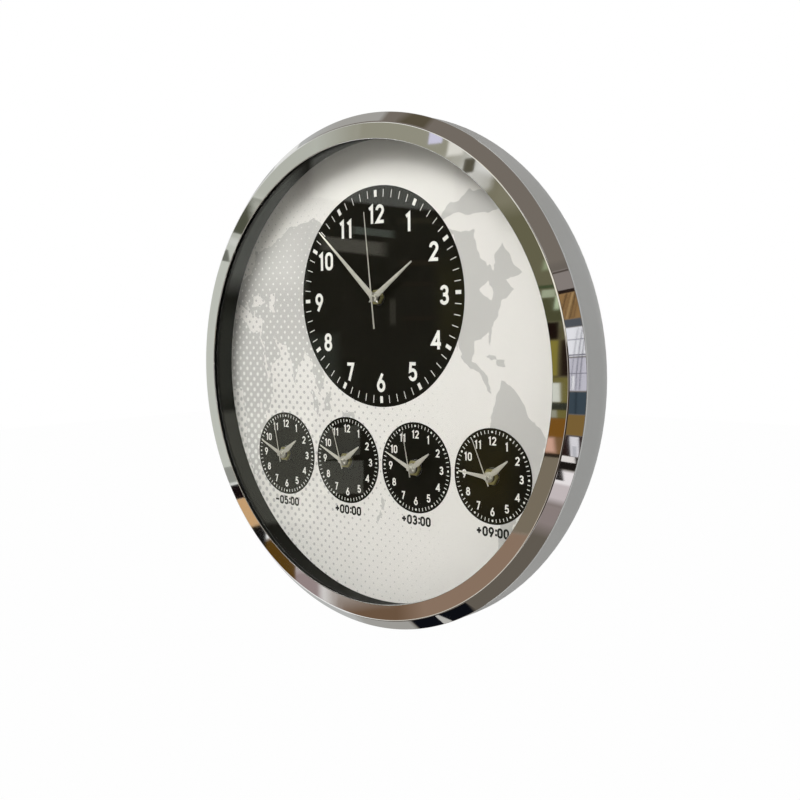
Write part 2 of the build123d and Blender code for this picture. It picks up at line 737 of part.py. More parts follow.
# Moving pieces of every movement
for name, (x, z) in movement_centres.items():
    hours, minutes, seconds = rest_times[name]
    is_main = name == "main"
    hand_tail = main_hand_tail if is_main else zone_hand_tail

    with BuildPart() as hour_wheel:
        with BuildSketch(facing(floor_back_y + hour_level, x, z)):
            add(gear_outline(hour_wheel_teeth, hour_module, driven_turn(motion_bearing + 180.0, hour_wheel_teeth)))
        extrude(amount=-wheel_thickness)
        with BuildSketch(facing(floor_back_y + hour_level, x, z)):
            Circle(hour_tube_radius)
        extrude(amount=floor_back_y + hour_level - hour_hub_y)
        with BuildSketch(facing(floor_back_y + hour_level + wheel_thickness, x, z)):
            Circle(hour_tube_bore)
        extrude(amount=floor_back_y + hour_level + wheel_thickness - hour_hub_y, mode=Mode.SUBTRACT)
    save(hour_wheel, f"{name}_hour_wheel")

    with BuildPart() as cannon_pinion:
        with BuildSketch(facing(floor_back_y + cannon_level, x, z)):
            add(gear_outline(cannon_teeth, motion_module, motion_bearing))
        extrude(amount=-wheel_thickness)
        with BuildSketch(facing(floor_back_y + cannon_level, x, z)):
            Circle(minute_tube_radius)
        extrude(amount=floor_back_y + cannon_level - minute_hub_y)
        with BuildSketch(facing(floor_back_y + centre_level + wheel_thickness, x, z)):
            Circle(spigot_radius)
        extrude(amount=centre_level - cannon_level)
        with BuildSketch(facing(floor_back_y + centre_level + wheel_thickness, x, z)):
            Circle(cannon_bore)
        extrude(amount=floor_back_y + centre_level + wheel_thickness - minute_hub_y, mode=Mode.SUBTRACT)
    save(cannon_pinion, f"{name}_cannon_pinion")

    with BuildPart() as second_wheel:
        with BuildSketch(facing(floor_back_y + second_level, x, z)):
            add(gear_outline(second_wheel_teeth, train_module, driven_turn(fifth_bearing + 180.0, second_wheel_teeth)))
        extrude(amount=-wheel_thickness)
        with BuildSketch(facing(floor_back_y + third_level, x, z)):
            add(gear_outline(second_pinion_teeth, train_module, third_bearing))
        extrude(amount=-wheel_thickness)
        with BuildSketch(facing(cover_y - boss_skin - wheel_gap / 2, x, z)):
            Circle(second_arbor_radius)
        extrude(amount=cover_y - boss_skin - wheel_gap / 2 - second_hub_y)
    save(second_wheel, f"{name}_second_wheel")

    with BuildPart() as setting_knob:
        with BuildSketch(facing(floor_back_y + hour_level, x + motion_x, z + motion_z)):
            add(gear_outline(motion_pinion_teeth, hour_module, motion_bearing + 180.0))
        extrude(amount=-wheel_thickness)
        with BuildSketch(facing(floor_back_y + cannon_level, x + motion_x, z + motion_z)):
            add(gear_outline(motion_wheel_teeth, motion_module, driven_turn(motion_bearing, motion_wheel_teeth)))
        extrude(amount=-wheel_thickness)
        with BuildSketch(facing(knob_y, x + motion_x, z + motion_z)):
            Circle(knob_arbor_radius)
        extrude(amount=knob_y - floor_back_y - hour_level)
        with BuildSketch(facing(floor_back_y + hour_level, x + motion_x, z + motion_z)):
            Circle(pivot_radius)
        extrude(amount=hour_level + floor_thickness - pivot_skin - running_gap)
        with BuildSketch(facing(knob_back_y, x + motion_x, z + motion_z)):
            Circle(knob_radius)
            with PolarLocations(knob_radius, knob_groove_count):
                Circle(knob_groove_radius, mode=Mode.SUBTRACT)
        extrude(amount=knob_length)
    save(setting_knob, f"{name}_setting_knob")

    if is_main:
        hour_stations = ((-hand_tail, tail_tip), (0, main_hour_width), (main_hour_length, main_hour_tip))
        minute_stations = ((-hand_tail, tail_tip), (0, main_minute_width), (main_minute_length, main_minute_tip))
        second_stations = ((-main_second_tail, main_second_width), (main_second_length, main_second_tip))
        hour_hub_radius = hour_tube_radius + hub_wall
    else:
        hour_stations = (
            (0, zone_hour_root),
            (zone_hour_shoulder, zone_hour_width),
            (zone_hour_length, zone_hour_tip),
        )
        minute_stations = ((-hand_tail, tail_tip), (0, zone_minute_width), (zone_minute_length, zone_minute_tip))
        second_stations = ((-zone_second_tail, zone_second_width), (zone_second_length, zone_second_tip))
        hour_hub_radius = zone_hour_boss

    hour_angle = 30.0 * (hours + minutes / 60.0)
    hour_hand = tapered_hand(
        x, z, hour_angle, hour_hub_y + hub_length, hour_stations, hour_hub_radius, hour_tube_radius + press_gap
    )
    save(hour_hand, f"{name}_hour_hand")

    minute_hand = tapered_hand(
        x,
        z,
        6.0 * minutes,
        minute_hub_y + hub_length,
        minute_stations,
        minute_tube_radius + hub_wall,
        minute_tube_radius + press_gap,
    )
    save(minute_hand, f"{name}_minute_hand")

    second_hand = tapered_hand(
        x,
        z,
        6.0 * seconds,
        second_hub_y + hub_length,
        second_stations,
        second_arbor_radius + hub_wall,
        second_arbor_radius + press_gap,
        cap_thickness,
    )
    save(second_hand, f"{name}_second_hand")

# Going train of the main movement, from the rotor to the centre wheel
main_x, main_z = movement_centres["main"]
arbor_back_y = cover_y - boss_skin - wheel_gap / 2

with BuildPart() as main_rotor:
    rotor_plane_x = main_x + rotor_x
    rotor_plane_z = main_z + rotor_z
    with BuildSketch(facing(floor_back_y + fifth_level - wheel_gap / 2, rotor_plane_x, rotor_plane_z)):
        Circle(magnet_radius)
    extrude(amount=magnet_length)
    with BuildSketch(facing(floor_back_y + fifth_level, rotor_plane_x, rotor_plane_z)):
        add(gear_outline(rotor_pinion_teeth, train_module, rotor_bearing + 180.0))
    extrude(amount=-wheel_thickness)
    with BuildSketch(facing(arbor_back_y, rotor_plane_x, rotor_plane_z)):
        Circle(train_arbor_radius)
    extrude(amount=arbor_back_y - floor_back_y - fifth_level + wheel_gap / 2)
save(main_rotor, "main_rotor")

with BuildPart() as main_fifth_wheel:
    with BuildSketch(facing(floor_back_y + fifth_level, main_x + fifth_x, main_z + fifth_z)):
        add(gear_outline(fifth_wheel_teeth, train_module, driven_turn(rotor_bearing + 180.0, fifth_wheel_teeth)))
    extrude(amount=-wheel_thickness)
    with BuildSketch(facing(floor_back_y + second_level, main_x + fifth_x, main_z + fifth_z)):
        add(gear_outline(fifth_pinion_teeth, train_module, fifth_bearing + 180.0))
    extrude(amount=-wheel_thickness)
    with BuildSketch(facing(arbor_back_y, main_x + fifth_x, main_z + fifth_z)):
        Circle(train_arbor_radius)
    extrude(amount=arbor_back_y - floor_back_y - second_level)
save(main_fifth_wheel, "main_fifth_wheel")

with BuildPart() as main_third_wheel:
    with BuildSketch(facing(floor_back_y + third_level, main_x + third_x, main_z + third_z)):
        add(gear_outline(third_wheel_teeth, train_module, driven_turn(third_bearing, third_wheel_teeth)))
    extrude(amount=-wheel_thickness)
    with BuildSketch(facing(floor_back_y + centre_level, main_x + third_x, main_z + third_z)):
        add(gear_outline(third_pinion_teeth, centre_module, third_bearing + 180.0))
    extrude(amount=-wheel_thickness)
    with BuildSketch(facing(arbor_back_y, main_x + third_x, main_z + third_z)):
        Circle(train_arbor_radius)
    extrude(amount=arbor_back_y - floor_back_y - centre_level)
save(main_third_wheel, "main_third_wheel")

with BuildPart() as main_centre_wheel:
    with BuildSketch(facing(floor_back_y + centre_level, main_x, main_z)):
        add(gear_outline(centre_wheel_teeth, centre_module, driven_turn(third_bearing + 180.0, centre_wheel_teeth)))
        Circle(spigot_radius + running_gap, mode=Mode.SUBTRACT)
    extrude(amount=-wheel_thickness)
save(main_centre_wheel, "main_centre_wheel")
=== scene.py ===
"""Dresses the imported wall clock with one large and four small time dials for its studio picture.

Metres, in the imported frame: +Z is up, +X is to the right, the dial faces -Y and the wall plane
is y = 0.
"""

import json
import logging
import math
from dataclasses import dataclass, field
from enum import Enum

import bmesh
import bpy
from mathutils import Matrix, Vector, noise


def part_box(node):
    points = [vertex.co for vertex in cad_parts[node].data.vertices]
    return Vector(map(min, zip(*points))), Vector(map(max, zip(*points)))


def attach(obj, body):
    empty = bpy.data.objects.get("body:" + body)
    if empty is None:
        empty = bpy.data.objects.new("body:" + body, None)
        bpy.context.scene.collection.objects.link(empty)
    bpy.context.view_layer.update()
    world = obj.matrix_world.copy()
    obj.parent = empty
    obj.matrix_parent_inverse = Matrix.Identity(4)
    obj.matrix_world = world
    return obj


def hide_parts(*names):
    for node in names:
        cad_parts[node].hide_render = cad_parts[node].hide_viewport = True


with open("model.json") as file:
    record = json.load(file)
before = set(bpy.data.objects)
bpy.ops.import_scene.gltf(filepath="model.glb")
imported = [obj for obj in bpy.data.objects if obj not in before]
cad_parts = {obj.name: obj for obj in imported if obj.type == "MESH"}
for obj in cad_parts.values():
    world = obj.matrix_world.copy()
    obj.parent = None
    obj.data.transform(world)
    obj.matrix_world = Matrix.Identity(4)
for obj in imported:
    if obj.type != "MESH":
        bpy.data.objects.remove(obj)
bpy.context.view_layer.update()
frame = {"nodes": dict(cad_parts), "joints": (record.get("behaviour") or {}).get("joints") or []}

log = logging.getLogger("wall_clock")

# A Pair is a range or a flat size. A Point is a place on the dial or in a section.
Colour = tuple[float, float, float]
Pair = tuple[float, float]
Point = tuple[float, float]
Place = tuple[float, float, float]
Size = tuple[float, float, float]
Stroke = tuple[list[Point], bool]
Shape = bmesh.types.BMesh
Socket = bpy.types.NodeSocket

MM = 0.001
WELD = 1e-7
SPIN_SLACK = 0.02 * MM
QUARTER = math.pi / 2.0
DEPTH_AXIS = (0.0, 1.0, 0.0)
HOURS = 12
MINUTES = 60
CASE_BODY = "case"
MAIN = "main"
ZONES = ("zone1", "zone2", "zone3", "zone4")
WHITE = (1.0, 1.0, 1.0, 1.0)

# Places of the colour sockets on a Mix node.
MIX_SHARE, MIX_FIRST, MIX_SECOND, MIX_RESULT = 0, 6, 7, 2


def shade(red: int, green: int, blue: int) -> Colour:
    """Turn a colour written in screen values into the linear values that shaders take.

    Args:
        red: Red from 0 to 255.
        green: Green from 0 to 255.
        blue: Blue from 0 to 255.

    Returns:
        The linear colour.
    """

    def linear(value: int) -> float:
        """Undo the screen curve of one channel."""
        share = value / 255.0
        return share / 12.92 if share <= 0.04045 else ((share + 0.055) / 1.055) ** 2.4

    return linear(red), linear(green), linear(blue)


def opaque(colour: Colour) -> tuple[float, float, float, float]:
    """Return a colour with the full alpha that colour sockets take."""
    return (*colour, 1.0)


@dataclass(frozen=True)
class Texture:
    """How the noise of one surface effect is drawn."""

    group: str
    detail: float
    roughness: float
    bend: float = 0.0
    stretch: Size | None = None


class Effect(Enum):
    """Surface effects that several finishes share, each one node group."""

    GRAIN = Texture("moulded_grain", 3.0, 0.6)
    SMUDGE = Texture("handling_smudge", 5.0, 0.7, bend=0.6)
    BRUSHED = Texture("brushed_lines", 4.0, 0.7, stretch=(0.03, 1.0, 1.0))
    FIBRE = Texture("pressed_fibre", 6.0, 0.75, bend=1.2, stretch=(1.0, 1.0, 0.35))


class NodeBench:
    """Places and links nodes in one node tree."""

    def __init__(self, tree: bpy.types.NodeTree) -> None:
        """Start with an empty tree."""
        self.tree = tree
        tree.nodes.clear()

    def add(
        self, kind: str, inputs: dict[str | int, object] | None = None, **settings: object
    ) -> bpy.types.Node:
        """Place one node.

        Args:
            kind: Blender's type name of the node.
            inputs: What each input, by name or place, takes: a value, or a socket to link from.
            **settings: Properties of the node itself.

        Returns:
            The new node.
        """
        node = self.tree.nodes.new(kind)
        for name, value in settings.items():
            setattr(node, name, value)
        for key, value in (inputs or {}).items():
            if isinstance(value, Socket):
                self.tree.links.new(value, node.inputs[key])
            else:
                node.inputs[key].default_value = value
        return node

    def math(self, operation: str, *values: object, clamp: bool = False) -> Socket:
        """Place a Math node and return its result."""
        inputs = dict(enumerate(values))
        return self.add("ShaderNodeMath", inputs, operation=operation, use_clamp=clamp).outputs[0]

    def spread(self, value: object, low: object, high: object) -> Socket:
        """Map a value from 0..1 to low..high and return the result."""
        inputs = {"Value": value, "To Min": low, "To Max": high}
        return self.add("ShaderNodeMapRange", inputs).outputs[0]

    def blend(self, share: Socket, first: object, second: object) -> Socket:
        """Mix two colours and return the result."""
        inputs = {MIX_SHARE: share, MIX_FIRST: first, MIX_SECOND: second}
        return self.add("ShaderNodeMix", inputs, data_type="RGBA").outputs[MIX_RESULT]

    def mix(self, share: Socket, first: bpy.types.Node, second: bpy.types.Node) -> Socket:
        """Mix two shaders and return the result."""
        inputs = {0: share, 1: first.outputs[0], 2: second.outputs[0]}
        return self.add("ShaderNodeMixShader", inputs).outputs[0]


def start_material(name: str) -> tuple[bpy.types.Material, NodeBench]:
    """Start a material with an empty node tree.

    Args:
        name: Name of the material.

    Returns:
        The material and the bench of its tree.
    """
    made = bpy.data.materials.new(name)
    made.use_nodes = True
    return made, NodeBench(made.node_tree)


@dataclass
class EffectLibrary:
    """Builds each shared effect once, as a shader node group."""

    slow_share: float = 0.04
    slow_detail: float = 3.0
    wear_range: Pair = (0.15, 0.75)
    drift_share: float = 0.6
    drift_least: float = 0.5
    raster_turn: float = math.radians(45.0)
    raster_start: Place = (-170.0 * MM, -20.0 * MM, -75.0 * MM)
    dot_middle: float = 0.5
    dot_border: float = 0.05
    groups: dict[str, bpy.types.NodeTree] = field(default_factory=dict)

    def start(
        self, name: str, inputs: tuple[str, ...], outputs: tuple[str, ...]
    ) -> tuple[NodeBench, bpy.types.bpy_prop_collection]:
        """Open a new group of plain value sockets.

        Args:
            name: Name of the group.
            inputs: Names of its inputs.
            outputs: Names of its outputs.

        Returns:
            The bench of the group's tree, and the sockets that bring in its inputs.
        """
        tree = bpy.data.node_groups.new(name, "ShaderNodeTree")
        for side, labels in (("INPUT", inputs), ("OUTPUT", outputs)):
            for label in labels:
                tree.interface.new_socket(label, in_out=side, socket_type="NodeSocketFloat")
        self.groups[name] = tree
        bench = NodeBench(tree)
        return bench, bench.add("NodeGroupInput").outputs

    def surface(self, effect: Effect) -> bpy.types.NodeTree:
        """Return the group of a surface effect.

        Args:
            effect: Which effect.

        Returns:
            A group with Scale, Low and High in, and Height, Roughness and Drift out.
        """
        look = effect.value
        if look.group in self.groups:
            return self.groups[look.group]
        outputs = ("Height", "Roughness", "Drift")
        bench, given = self.start(look.group, ("Scale", "Low", "High"), outputs)
        place = bench.add("ShaderNodeTexCoord").outputs["Object"]
        if look.stretch:
            stretch = {"Vector": place, "Scale": look.stretch}
            place = bench.add("ShaderNodeMapping", stretch).outputs[0]
        fine_noise = {
            "Vector": place,
            "Scale": given["Scale"],
            "Detail": look.detail,
            "Roughness": look.roughness,
            "Distortion": look.bend,
        }
        slow_noise = {
            "Vector": place,
            "Scale": bench.math("MULTIPLY", given["Scale"], self.slow_share),
            "Detail": self.slow_detail,
        }
        fine = bench.add("ShaderNodeTexNoise", fine_noise).outputs[0]
        slow = bench.add("ShaderNodeTexNoise", slow_noise).outputs[0]
        wear = bench.math("MULTIPLY", fine, slow) if effect is Effect.SMUDGE else fine
        least, most = self.wear_range
        span = {"Value": wear, "From Min": least, "From Max": most}
        steep = bench.add("ShaderNodeMapRange", span).outputs[0]
        results = {
            "Height": fine,
            "Roughness": bench.spread(steep, given["Low"], given["High"]),
            "Drift": bench.math("MULTIPLY_ADD", slow, self.drift_share, self.drift_least),
        }
        bench.add("NodeGroupOutput", results)
        return bench.tree

    def halftone(self) -> bpy.types.NodeTree:
        """Return the group of the printed dot raster.

        Returns:
            A group with Pitch, Reach and Largest in, and Mask out: dots that shrink from one side.
        """
        name = "dot_raster"
        if name in self.groups:
            return self.groups[name]
        bench, given = self.start(name, ("Pitch", "Reach", "Largest"), ("Mask",))
        place = bench.add("ShaderNodeTexCoord").outputs["Object"]
        turn = {"Vector": place, "Rotation": (0.0, self.raster_turn, 0.0)}
        turned = bench.add("ShaderNodeMapping", turn).outputs[0]
        per_pitch = bench.math("DIVIDE", 1.0, given["Pitch"])
        scaling = {0: turned, "Scale": per_pitch}
        cells = bench.add("ShaderNodeVectorMath", scaling, operation="SCALE")
        inside = bench.add("ShaderNodeVectorMath", {0: cells.outputs[0]}, operation="FRACTION")
        parts = bench.add("ShaderNodeSeparateXYZ", {0: inside.outputs[0]}).outputs
        sides = [bench.math("SUBTRACT", parts[axis], self.dot_middle) for axis in ("X", "Z")]
        squares = [bench.math("MULTIPLY", side, side) for side in sides]
        distance = bench.math("SQRT", bench.math("ADD", *squares))
        ends = {0: place, 1: self.raster_start}
        away = bench.add("ShaderNodeVectorMath", ends, operation="DISTANCE")
        share = bench.math("DIVIDE", away.outputs["Value"], given["Reach"])
        fade = bench.math("SUBTRACT", 1.0, share, clamp=True)
        radius = bench.math("MULTIPLY", fade, given["Largest"])
        soft = bench.math("DIVIDE", bench.math("SUBTRACT", radius, distance), self.dot_border)
        bench.add("NodeGroupOutput", {"Mask": bench.math("ADD", soft, 0.5, clamp=True)})
        return bench.tree


@dataclass(frozen=True)
class Finish:
    """One finish: the fixed values of its shader and the surface effect that breaks it up."""

    name: str
    base: Colour
    drift: Colour
    effect: Effect
    scale: float
    roughness: Pair
    bump: float = 0.0
    metallic: float = 0.0
    coat: float = 0.0
    specular: float = 0.5
    coat_roughness: float = 0.05
    bump_strength: float = 0.5

    def colour(self, bench: NodeBench, drift: Socket, effects: EffectLibrary) -> Socket:
        """Place the colour, which drifts over the surface, and return its socket."""
        return bench.blend(drift, opaque(self.base), opaque(self.drift))

    def shader(self, bench: NodeBench, effects: EffectLibrary) -> bpy.types.Node:
        """Place the shader with its surface effect.

        Args:
            bench: Bench of the material's tree.
            effects: Library of shared effects.

        Returns:
            The shader node.
        """
        low, high = self.roughness
        values = {"Scale": self.scale, "Low": low, "High": high}
        group = effects.surface(self.effect)
        effect = bench.add("ShaderNodeGroup", values, node_tree=group).outputs
        inputs = {
            "Base Color": self.colour(bench, effect["Drift"], effects),
            "Roughness": effect["Roughness"],
            "Metallic": self.metallic,
            "Coat Weight": self.coat,
            "Coat Roughness": self.coat_roughness,
            "Specular IOR Level": self.specular,
        }
        if self.bump:
            relief = {
                "Height": effect["Height"],
                "Distance": self.bump,
                "Strength": self.bump_strength,
            }
            inputs["Normal"] = bench.add("ShaderNodeBump", relief).outputs[0]
        return bench.add("ShaderNodeBsdfPrincipled", inputs)

    def surface(self, bench: NodeBench, effects: EffectLibrary) -> Socket:
        """Place all that the surface needs and return its socket."""
        return self.shader(bench, effects).outputs[0]

    def material(self, effects: EffectLibrary) -> bpy.types.Material:
        """Build the material of this finish.

        Args:
            effects: Library of shared effects.

        Returns:
            The material.
        """
        made, bench = start_material(self.name)
        bench.add("ShaderNodeOutputMaterial", {"Surface": self.surface(bench, effects)})
        return made


@dataclass(frozen=True)
class PrintedPaper(Finish):
    """Printed paper with a raster of dots over its tone."""

    dot: Colour = (0.4, 0.4, 0.4)
    pitch: float = 6.5 * MM
    reach: float = 280.0 * MM
    largest: float = 0.33

    def colour(self, bench: NodeBench, drift: Socket, effects: EffectLibrary) -> Socket:
        """Place the drifting colour with the dots over it.

        Args:
            bench: Bench of the material's tree.
            drift: Socket of the drift.
            effects: Library of shared effects.

        Returns:
            The socket of the printed colour.
        """
        values = {"Pitch": self.pitch, "Reach": self.reach, "Largest": self.largest}
        dots = bench.add("ShaderNodeGroup", values, node_tree=effects.halftone())
        paper = super().colour(bench, drift, effects)
        return bench.blend(dots.outputs["Mask"], paper, opaque(self.dot))


@dataclass(frozen=True)
class ClearGlass(Finish):
    """Flat clear glass that lets the lamps through to the dial."""

    ior: float = 1.47
    passing: Colour = (0.97, 0.98, 0.97)

    def surface(self, bench: NodeBench, effects: EffectLibrary) -> Socket:
        """Place the glass, which lamps pass by the Light Path of their shadow rays.

        Args:
            bench: Bench of the material's tree.
            effects: Library of shared effects.

        Returns:
            The socket of the glass.
        """
        glass = self.shader(bench, effects)
        glass.inputs["Transmission Weight"].default_value = 1.0
        glass.inputs["IOR"].default_value = self.ior
        clear = bench.add("ShaderNodeBsdfTransparent", {"Color": opaque(self.passing)})
        return bench.mix(bench.add("ShaderNodeLightPath").outputs["Is Shadow Ray"], glass, clear)


class FinishRack:
    """Holds every finish of the clock and makes each material once."""

    def __init__(self) -> None:
        """Write down the finishes."""
        self.effects = EffectLibrary()
        self.made: dict[str, bpy.types.Material] = {}
        finishes = [*self.case_finishes(), *self.movement_finishes(), *self.dial_finishes()]
        self.finishes = {finish.name: finish for finish in finishes}

    @staticmethod
    def case_finishes() -> list[Finish]:
        """Return the finishes of the case, the glass and the board."""
        return [
            Finish(
                "mirror_chrome", (0.88, 0.88, 0.87), (0.84, 0.84, 0.83),
                Effect.SMUDGE, 60.0, (0.02, 0.06), metallic=1.0,
            ),
            Finish(
                "satin_silver", (0.61, 0.61, 0.60), (0.66, 0.66, 0.65),
                Effect.GRAIN, 1800.0, (0.36, 0.50), bump=0.04 * MM, metallic=0.85,
            ),
            Finish(
                "matt_black", (0.0042, 0.0043, 0.0036), (0.0058, 0.006, 0.005),
                Effect.SMUDGE, 30.0, (0.5, 0.65), specular=0.04,
            ),
            Finish(
                "soft_rubber", (0.016, 0.016, 0.016), (0.024, 0.024, 0.023),
                Effect.GRAIN, 1500.0, (0.6, 0.85), bump=0.05 * MM,
            ),
            Finish(
                "pressed_board", shade(116, 82, 52), shade(88, 59, 36),
                Effect.FIBRE, 900.0, (0.62, 0.9), bump=0.12 * MM,
            ),
            Finish(
                "zinc_steel", (0.56, 0.57, 0.58), (0.47, 0.48, 0.5),
                Effect.BRUSHED, 2400.0, (0.22, 0.42), bump=0.03 * MM, metallic=1.0,
            ),
            ClearGlass(
                "window_glass", (0.985, 0.99, 0.985), (0.98, 0.985, 0.98),
                Effect.SMUDGE, 40.0, (0.0, 0.003),
            ),
        ]

    @staticmethod
    def movement_finishes() -> list[Finish]:
        """Return the finishes of the movements, the hands and the cells."""
        return [
            Finish(
                "black_moulding", (0.014, 0.014, 0.0145), (0.022, 0.022, 0.022),
                Effect.GRAIN, 2200.0, (0.38, 0.62), bump=0.05 * MM,
            ),
            Finish(
                "turned_brass", shade(196, 190, 138), shade(174, 166, 112),
                Effect.BRUSHED, 2600.0, (0.24, 0.44), bump=0.02 * MM, metallic=0.7,
            ),
            Finish(
                "black_washer", (0.012, 0.012, 0.011), (0.02, 0.02, 0.019),
                Effect.BRUSHED, 2600.0, (0.4, 0.6), bump=0.02 * MM,
            ),
            Finish(
                "board_green", shade(28, 92, 58), shade(20, 74, 46),
                Effect.GRAIN, 1400.0, (0.3, 0.5), bump=0.03 * MM, coat=0.4,
            ),
            Finish(
                "enamelled_copper", shade(176, 92, 52), shade(150, 70, 36),
                Effect.BRUSHED, 3600.0, (0.2, 0.4), bump=0.06 * MM, metallic=1.0,
            ),
            Finish(
                "satin_hand", shade(214, 212, 202), shade(202, 199, 188),
                Effect.GRAIN, 2600.0, (0.3, 0.44), bump=0.01 * MM, metallic=0.55,
            ),
            Finish(
                "milky_wheel", shade(226, 224, 214), shade(212, 209, 197),
                Effect.GRAIN, 1600.0, (0.32, 0.5), bump=0.02 * MM,
            ),
            Finish(
                "knob_moulding", (0.03, 0.03, 0.031), (0.042, 0.042, 0.042),
                Effect.GRAIN, 2400.0, (0.4, 0.62), bump=0.04 * MM,
            ),
            Finish(
                "dark_magnet", (0.11, 0.105, 0.1), (0.16, 0.15, 0.145),
                Effect.GRAIN, 1500.0, (0.3, 0.5), bump=0.03 * MM, metallic=0.7,
            ),
            Finish(
                "cell_sleeve_grey", shade(172, 176, 178), shade(160, 164, 167),
                Effect.GRAIN, 900.0, (0.25, 0.4), coat=0.5,
            ),
            Finish(
                "cell_sleeve_teal", shade(34, 104, 112), shade(28, 92, 100),
                Effect.GRAIN, 900.0, (0.25, 0.4), coat=0.5,
            ),
        ]

    @staticmethod
    def dial_finishes() -> list[Finish]:
        """Return the finishes of the dial's paper and inks."""
        return [
            Finish(
                "black_ink", (0.0045, 0.0042, 0.0028), (0.0062, 0.0058, 0.004),
                Effect.FIBRE, 1500.0, (0.5, 0.7), bump=0.002 * MM, specular=0.06,
            ),
            Finish(
                "white_ink", shade(236, 235, 230), shade(228, 227, 221),
                Effect.FIBRE, 1500.0, (0.5, 0.7), bump=0.01 * MM, specular=0.2,
            ),
            Finish(
                "label_ink", (0.011, 0.011, 0.0105), (0.016, 0.016, 0.015),
                Effect.FIBRE, 1500.0, (0.5, 0.7), bump=0.01 * MM, specular=0.1,
            ),
            PrintedPaper(
                "dial_paper", shade(226, 223, 219), shade(221, 218, 214),
                Effect.FIBRE, 1300.0, (0.55, 0.75), bump=0.01 * MM, specular=0.2,
                dot=shade(178, 177, 174),
            ),
            PrintedPaper(
                "land_print", shade(192, 190, 187), shade(188, 186, 183),
                Effect.FIBRE, 1300.0, (0.55, 0.75), bump=0.01 * MM, specular=0.2,
                dot=shade(226, 225, 221),
            ),
        ]

    def get(self, name: str) -> bpy.types.Material:
        """Return the material of a finish, made the first time that it is asked for.

        Args:
            name: Name of the finish.

        Returns:
            The material.
        """
        if name not in self.made:
            self.made[name] = self.finishes[name].material(self.effects)
        return self.made[name]


def settle(shape: Shape, name: str) -> bpy.types.Mesh:
    """Turn a finished shape into a mesh and free the shape.

    Args:
        shape: The finished shape.
        name: Name of the mesh.

    Returns:
        The new mesh.
    """
    mesh = bpy.data.meshes.new(name)
    shape.to_mesh(mesh)
    shape.free()
    return mesh


def stand(name: str, data: bpy.types.ID) -> bpy.types.Object:
    """Put a mesh, a lamp or a camera into the scene as an object.

    Args:
        name: Name of the object.
        data: What the object shows.

    Returns:
        The new object.
    """
    thing = bpy.data.objects.new(name, data)
    bpy.context.scene.collection.objects.link(thing)
    return thing


class Workshop:
    """Turns bmesh shapes into pieces that ride on a body of the clock."""

    def __init__(self, rack: FinishRack) -> None:
        """Take the rack of finishes."""
        self.rack = rack

    def piece(
        self,
        shape: Shape,
        name: str,
        finishes: tuple[str, ...],
        slot: str,
        body: str = CASE_BODY,
        sharp: float = 30.0,
    ) -> bpy.types.Object:
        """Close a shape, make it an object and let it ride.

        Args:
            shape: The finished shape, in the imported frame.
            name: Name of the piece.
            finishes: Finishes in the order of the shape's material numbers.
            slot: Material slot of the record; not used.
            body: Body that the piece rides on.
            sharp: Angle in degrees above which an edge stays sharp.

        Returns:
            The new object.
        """
        bmesh.ops.remove_doubles(shape, verts=shape.verts, dist=WELD)
        bmesh.ops.recalc_face_normals(shape, faces=shape.faces)
        if shape.calc_volume(signed=True) < 0.0:
            bmesh.ops.reverse_faces(shape, faces=shape.faces)
        mesh = settle(shape, name)
        mesh.shade_smooth()
        mesh.set_sharp_from_angle(angle=math.radians(sharp))
        for finish in finishes:
            mesh.materials.append(self.rack.get(finish))
        thing = stand(name, mesh)
        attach(thing, body)
        log.info("piece %s: %d faces on %s", name, len(mesh.polygons), body)
        return thing

    def dress(self, node: str, finish: str) -> None:
        """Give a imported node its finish.

        Args:
            node: Name of the node.
            finish: Name of the finish.
        """
        mesh = frame["nodes"][node].data
        mesh.materials.clear()
        mesh.materials.append(self.rack.get(finish))
        log.info("node %s: %s", node, finish)


def chain(
    shape: Shape, corners: list[bmesh.types.BMVert], closed: bool = True
) -> list[bmesh.types.BMEdge]:
    """Join corners by edges, in order.

    Args:
        shape: The shape that holds the corners.
        corners: The corners.
        closed: Whether the last corner joins the first.

    Returns:
        The new edges.
    """
    ends = corners[1:] + corners[:1] if closed else corners[1:]
    return [shape.edges.new(pair) for pair in zip(corners, ends)]


def push_forward(shape: Shape, extruded: dict[str, list], depth: float) -> None:
    """Move what an extrusion made towards the front.

    Args:
        shape: The extruded shape.
        extruded: Result of the extrusion.
        depth: How far it moves.
    """
    corners = [part for part in extruded["geom"] if isinstance(part, bmesh.types.BMVert)]
    bmesh.ops.translate(shape, verts=corners, vec=(0.0, -depth, 0.0))


def ring(
    shape: Shape,
    profile: list[Point],
    steps: int,
    centre: Point = (0.0, 0.0),
    closed: bool = True,
) -> list[bmesh.types.BMFace]:
    """Spin a profile about the depth axis.

    Args:
        shape: Where the ring goes.
        profile: Corners as (radius, depth), in order round the section.
        steps: Number of steps in the full turn.
        centre: Where the axis stands, as (x, z).
        closed: Whether the section closes, or runs from the axis to the axis.

    Returns:
        The new faces.
    """
    before = set(shape.faces)
    corners = [shape.verts.new((centre[0] + radius, depth, centre[1])) for radius, depth in profile]
    bmesh.ops.spin(
        shape,
        geom=corners + chain(shape, corners, closed),
        cent=(centre[0], 0.0, centre[1]),
        axis=DEPTH_AXIS,
        angle=math.tau,
        steps=steps,
        use_merge=True,
    )
    return [face for face in shape.faces if face not in before]


